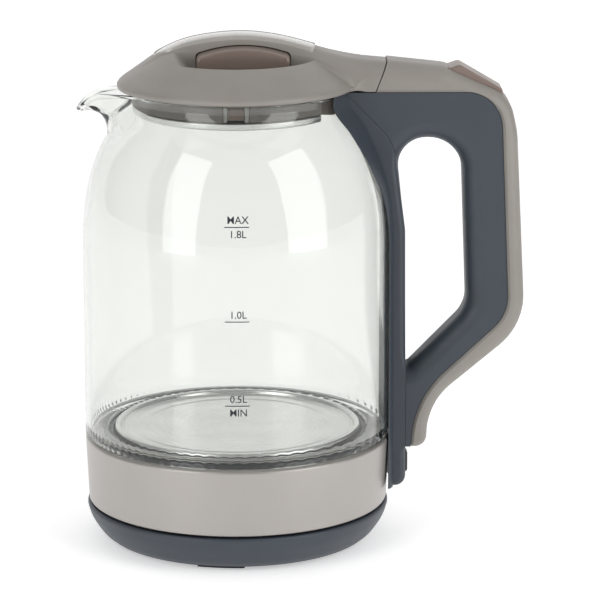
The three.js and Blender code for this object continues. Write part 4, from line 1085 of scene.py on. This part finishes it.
# ---------------------------------------------------------------- handle
OUTER_CORNERS = [(30, 240), (70.3, 230.1), (97.5, 227.1, 18), (127.4, 213.4, 18), (131.2, 196, 40),
                 (136, 103.8, 31), (90.3, 65.5, 32), (89.7, COVER_LOW, 5.6), (40, COVER_LOW)]
SPLIT_CORNERS = [(-40, 215.6), (123.2, 215.6, 17), (127.9, 109.5, 20), (82.6, 67.4, 48),
                 (82.4, COVER_LOW + 1), (82.4, -20), (-40, -20)]
LOOP_CORNERS = [(74.3, 193.2, 13), (105.2, 193.2, 16), (108.4, 111.5, 16), (77.2, 79.5, 2.5), (79.1, 148, 40)]
STRAP_CORNERS = [(20, STRAP_LOW), (80, STRAP_LOW, 5), (79.6, 88), (79.1, 150, 30), (73.6, 192, 25),
                 (51, 215.3), (20, 215.3)]
SWITCH_CORNERS = [(97.8, 219.5), (98.6, 226, 0.8), (104, 227.9, 3), (124.6, 215.9, 2), (123.6, 213, 1),
                  (114, 209, 2), (108, 209, 2)]
FLANGE_STATIONS = [(STRAP_LOW, 16, 2.2), (150, 16, 2.2), (165, 19.5, 2.2), (178, 24.5, 2.2), (189.7, 27, 2.3),
                   (196, 26.3, 3.2), (203.3, 24, 5.4), (212.2, 21.3, 5.3), (215.3, 21, 3.4)]


def outline(corners, longest=4.0):
    return divided(softened(corners, 10), longest)


def whole_handle(name, half, rounding):
    points = outline(OUTER_CORNERS)
    heights = np.array([z for _, z in points])
    share = 0.4 + 0.25 * smoothstep(46, 70, heights) + 0.35 * smoothstep(205, 222, heights)
    return across(name, points, rounded_stations(half, rounding, 8), share)


def behind_seam():
    """A block behind the slanted seam, which also keeps what hangs below the tongue."""
    foot, top, far = 212.0, 236.0, 220.0
    xs = [SEAM_X + (z - SEAM_FOOT) * SEAM_SLOPE + SEAM_GAP / 2 for z in (foot, top)]
    corners = [(72, -10), (far, -10), (far, top), (xs[1], top), (xs[0], foot), (72, foot)]
    return prism("seam", corners, WIDE)


def switch_pocket(gap):
    return prism("switch_pocket", grown(softened(SWITCH_CORNERS, 5), gap), SWITCH_SIDE + gap)


def loop_tool(half, rounding):
    return across("loop", outline(LOOP_CORNERS, 3.0),
                  [(-WIDE, -rounding), *rounded_stations(half, -rounding, 7), (WIDE, -rounding)])


def build_handle_cover():
    half = COVER_SIDE
    rounding = sizes().handle_rounding / MM
    cover = whole_handle("handle_cover_fine", half, rounding)
    bevel = 1.2
    split = outline(SPLIT_CORNERS)
    flat = sizes().grip_half_width / MM
    beside = [(flat, 0), (half + 0.05, -bevel), (WIDE, -bevel)]
    inside = across("behind", grown(split, 0.15), [(-y, inset) for y, inset in reversed(beside)] + beside)
    cut(cover, inside)
    common(cover, behind_seam())
    cut(cover, switch_pocket(0.35))
    piece(cover, "jug", "light_plastic", "handle_cover")


def build_grip():
    half = sizes().grip_half_width / MM
    grip = whole_handle("handle_grip_fine", half, 2.0)
    common(grip, prism("front", grown(outline(SPLIT_CORNERS), -0.1), WIDE))
    cut(grip, loop_tool(half, 8.5))
    cut(grip, prism("strap_room", grown(outline(STRAP_CORNERS), 0.12), WIDE))
    cut(grip, glass_plug(0.5))
    cut(grip, switch_pocket(0.35))
    piece(grip, "jug", "dark_plastic", "handle_grip")


def flange_mesh():
    """The foot of the strap on the glass, which spreads over the shoulder."""
    table = np.array(FLANGE_STATIONS)
    heights = [STRAP_LOW, 60, 100, *np.linspace(140, 215.3, 34)]
    half_widths = np.interp(heights, table[:, 0], table[:, 1])
    steps = np.interp(heights, table[:, 0], table[:, 2])
    soft = np.array([1, 2, 3, 2, 1]) / 9
    for row in (half_widths, steps):
        row[5:-2] = np.convolve(np.pad(row, 2, "edge"), soft, "valid")[5:-2]
    edge = 1.5
    body = sizes().grip_half_width / MM
    points = []
    for height, half, step in zip(heights, half_widths, steps):
        side = glass_radius(height)
        edge_x = math.sqrt((side + edge) ** 2 - half ** 2)
        step_x = math.sqrt(side ** 2 - body ** 2) + step
        near = [(24, -half), (edge_x - 0.7, -half), (edge_x, -half + 0.55), (step_x, -body),
                (step_x + 0.01, -body + 3)]
        ring = near + [(x, -y) for x, y in reversed(near)]
        points += [(x, y, height) for x, y in ring]
    count = len(points) // len(heights)
    faces = grid_faces(len(heights), count)
    last = (len(heights) - 1) * count
    faces += [tuple(range(count))[::-1], tuple(last + i for i in range(count))]
    return mesh_object("flange", points, faces)


def build_strap():
    body = sizes().grip_half_width / MM
    points = outline(STRAP_CORNERS)
    heights = np.array([z for _, z in points])
    seam = smoothstep(COVER_LOW - 2, COVER_LOW, heights) * (1 - smoothstep(80, 92, heights))
    seam += smoothstep(180, 192, heights)
    strap = across("handle_strap_fine", points, rounded_stations(body, 3.2, 6), 1 - 0.93 * seam)
    joined(strap, flange_mesh(), "UNION")
    cut(strap, glass_plug(0.45))
    cut(strap, box("lens_room", (75, 100), (-3.3, 3.3), (LENS_LOW - 0.3, LENS_HIGH + 0.3)))
    piece(strap, "jug", "dark_plastic", "handle_strap")
    corner = 1.3
    lens_corners = [(LENS_X[0], LENS_LOW), (LENS_X[1], LENS_LOW, corner), (LENS_X[1], LENS_HIGH, corner),
                    (LENS_X[0], LENS_HIGH)]
    lens_points = softened(lens_corners, 5)
    lens = across("indicator_lens_fine", lens_points, rounded_stations(3.0, 0.7, 4))
    piece(lens, "jug", "black_plastic", "indicator_lens")


def build_switch():
    rocker = across("power_switch_fine", divided(softened(SWITCH_CORNERS, 6), 3.0),
                    rounded_stations(SWITCH_SIDE, 0.75, 5))
    piece(rocker, "switch", "bronze_plastic", "power_switch")


# ---------------------------------------------------------------- carried-over frame nodes and studio
def finish_frame_nodes():
    """Gives every frame node the finish that the record names for it."""
    for part in frame["record"]["subparts"]:
        node = frame["nodes"][part["node"]]
        node.data.materials.clear()
        node.data.materials.append(finish(part["material_slot"]))


def aimed(name, data, at, aim):
    """Places a lamp or camera and turns it to what it looks at."""
    holder = bpy.data.objects.new(name, data)
    holder.location = at
    holder.rotation_euler = (Vector(aim) - Vector(at)).to_track_quat("-Z", "Y").to_euler()
    bpy.context.scene.collection.objects.link(holder)
    return holder


def softbox(name, at, aim, size, power):
    lamp = bpy.data.lights.new(name, "AREA")
    lamp.shape = "RECTANGLE"
    lamp.size, lamp.size_y = size
    lamp.energy = power
    return aimed(name, lamp, at, aim)


def build_stage():
    studio = bpy.context.scene.kettle_studio
    shader = Shader("studio_floor")
    drift = shader.spread(shader.noise(3.0, 2.0), 0.0, 1.0)
    rgb = colours().floor
    shader.surface({
        "Base Color": shader.mix(drift, tone(rgb, 0.99), tone(rgb, 1.01)),
        "Roughness": 0.9,
        "Emission Color": (1.0, 1.0, 1.0, 1.0),
        "Emission Strength": studio.floor_glow,
    })
    angles = np.radians(np.linspace(6, 90, 14))
    sweep_curve = [(1.6 + 1.2 * math.sin(a), 1.2 - 1.2 * math.cos(a)) for a in angles]
    profile = [(-3.0, 0.0), (1.6, 0.0), *sweep_curve, (2.8, 4.0)]
    half = 4.0
    points = [(x, y, z) for y, z in profile for x in (-half, half)]
    faces = [(2 * i, 2 * i + 1, 2 * i + 3, 2 * i + 2) for i in range(len(profile) - 1)]
    mesh = bpy.data.meshes.new("studio_sweep")
    mesh.from_pydata(points, [], faces)
    mesh.shade_smooth()
    mesh.materials.append(shader.material)
    sweep = bpy.data.objects.new("studio_sweep", mesh)
    bpy.context.scene.collection.objects.link(sweep)
    aim = (0.0, 0.0, 0.12)
    softbox("left_softbox", (-0.85, -0.90, 0.55), aim, (0.62, 1.5), studio.softbox)
    softbox("right_softbox", (0.98, -0.74, 0.55), aim, (0.80, 1.5), studio.softbox * 1.25)
    softbox("overhead", (0.0, 0.6, 2.1), (0.0, 0.6, 0.0), (3.0, 3.0), studio.softbox * 1.9)
    world = bpy.data.worlds.new("studio_sky")
    world.use_nodes = True
    world.node_tree.nodes["Background"].inputs["Color"].default_value = (1.0, 1.0, 1.0, 1.0)
    world.node_tree.nodes["Background"].inputs["Strength"].default_value = studio.sky
    bpy.context.scene.world = world
    bpy.context.scene.view_settings.view_transform = "Standard"
    camera = bpy.data.cameras.new("camera")
    camera.lens = studio.lens
    camera.sensor_width = 36.0
    camera.clip_end = 50.0
    bpy.context.scene.camera = aimed("camera", camera, studio.camera_at, studio.camera_aim)


# ---------------------------------------------------------------- operators and panel
class KettleOperator:
    """One step of the kettle: runs its builders, and fails loudly if one of them fails."""
    bl_options = {"REGISTER", "UNDO"}
    builders = ()

    def execute(self, context):
        for build in self.builders:
            build()
        return {"FINISHED"}


class KETTLE_OT_stage(KettleOperator, bpy.types.Operator):
    """Set up the floor, the lights and the camera"""
    bl_idname = "kettle.stage"
    bl_label = "Studio"
    builders = (build_stage,)


class KETTLE_OT_frame_nodes(KettleOperator, bpy.types.Operator):
    """Give each carried-over frame node its finish"""
    bl_idname = "kettle.frame_nodes"
    bl_label = "Inner parts"
    builders = (finish_frame_nodes,)


class KETTLE_OT_glass(KettleOperator, bpy.types.Operator):
    """Build the glass jug and its level scale"""
    bl_idname = "kettle.glass"
    bl_label = "Glass jug"
    builders = (build_glass, build_scale)


class KETTLE_OT_foot(KettleOperator, bpy.types.Operator):
    """Build the heating plate, its seal and the lower band"""
    bl_idname = "kettle.foot"
    bl_label = "Jug foot"
    builders = (build_foot_parts, build_band)


class KETTLE_OT_base(KettleOperator, bpy.types.Operator):
    """Build the power base"""
    bl_idname = "kettle.base"
    bl_label = "Power base"
    builders = (build_power_base,)


class KETTLE_OT_lid(KettleOperator, bpy.types.Operator):
    """Build the lid with its trim, buttons and inside"""
    bl_idname = "kettle.lid"
    bl_label = "Lid"
    builders = (build_lid_cover, build_lid_trim, build_buttons, build_lid_insides)


class KETTLE_OT_handle(KettleOperator, bpy.types.Operator):
    """Build the handle's strap, grip, cover and switch"""
    bl_idname = "kettle.handle"
    bl_label = "Handle"
    builders = (build_strap, build_grip, build_handle_cover, build_switch)


OPERATORS = (KETTLE_OT_stage, KETTLE_OT_frame_nodes, KETTLE_OT_glass, KETTLE_OT_foot, KETTLE_OT_base,
             KETTLE_OT_lid, KETTLE_OT_handle)


class KETTLE_PT_panel(bpy.types.Panel):
    """Lists the steps that build the kettle"""
    bl_idname = "KETTLE_PT_panel"
    bl_label = "Glass kettle"
    bl_space_type = "VIEW_3D"
    bl_region_type = "UI"
    bl_category = "Kettle"

    def draw(self, context):
        for operator in OPERATORS:
            self.layout.operator(operator.bl_idname)


CLASSES = (KettleSizes, KettleColours, KettleStudio, *OPERATORS, KETTLE_PT_panel)


def register():
    for kind in CLASSES:
        bpy.utils.register_class(kind)
    bpy.types.Scene.kettle_sizes = PointerProperty(type=KettleSizes)
    bpy.types.Scene.kettle_colours = PointerProperty(type=KettleColours)
    bpy.types.Scene.kettle_studio = PointerProperty(type=KettleStudio)


def unregister():
    del bpy.types.Scene.kettle_studio
    del bpy.types.Scene.kettle_colours
    del bpy.types.Scene.kettle_sizes
    for kind in reversed(CLASSES):
        bpy.utils.unregister_class(kind)


def main():
    register()
    for operator in OPERATORS:
        group, name = operator.bl_idname.split(".")
        getattr(getattr(bpy.ops, group), name)()


if __name__ == "__main__":
    main()
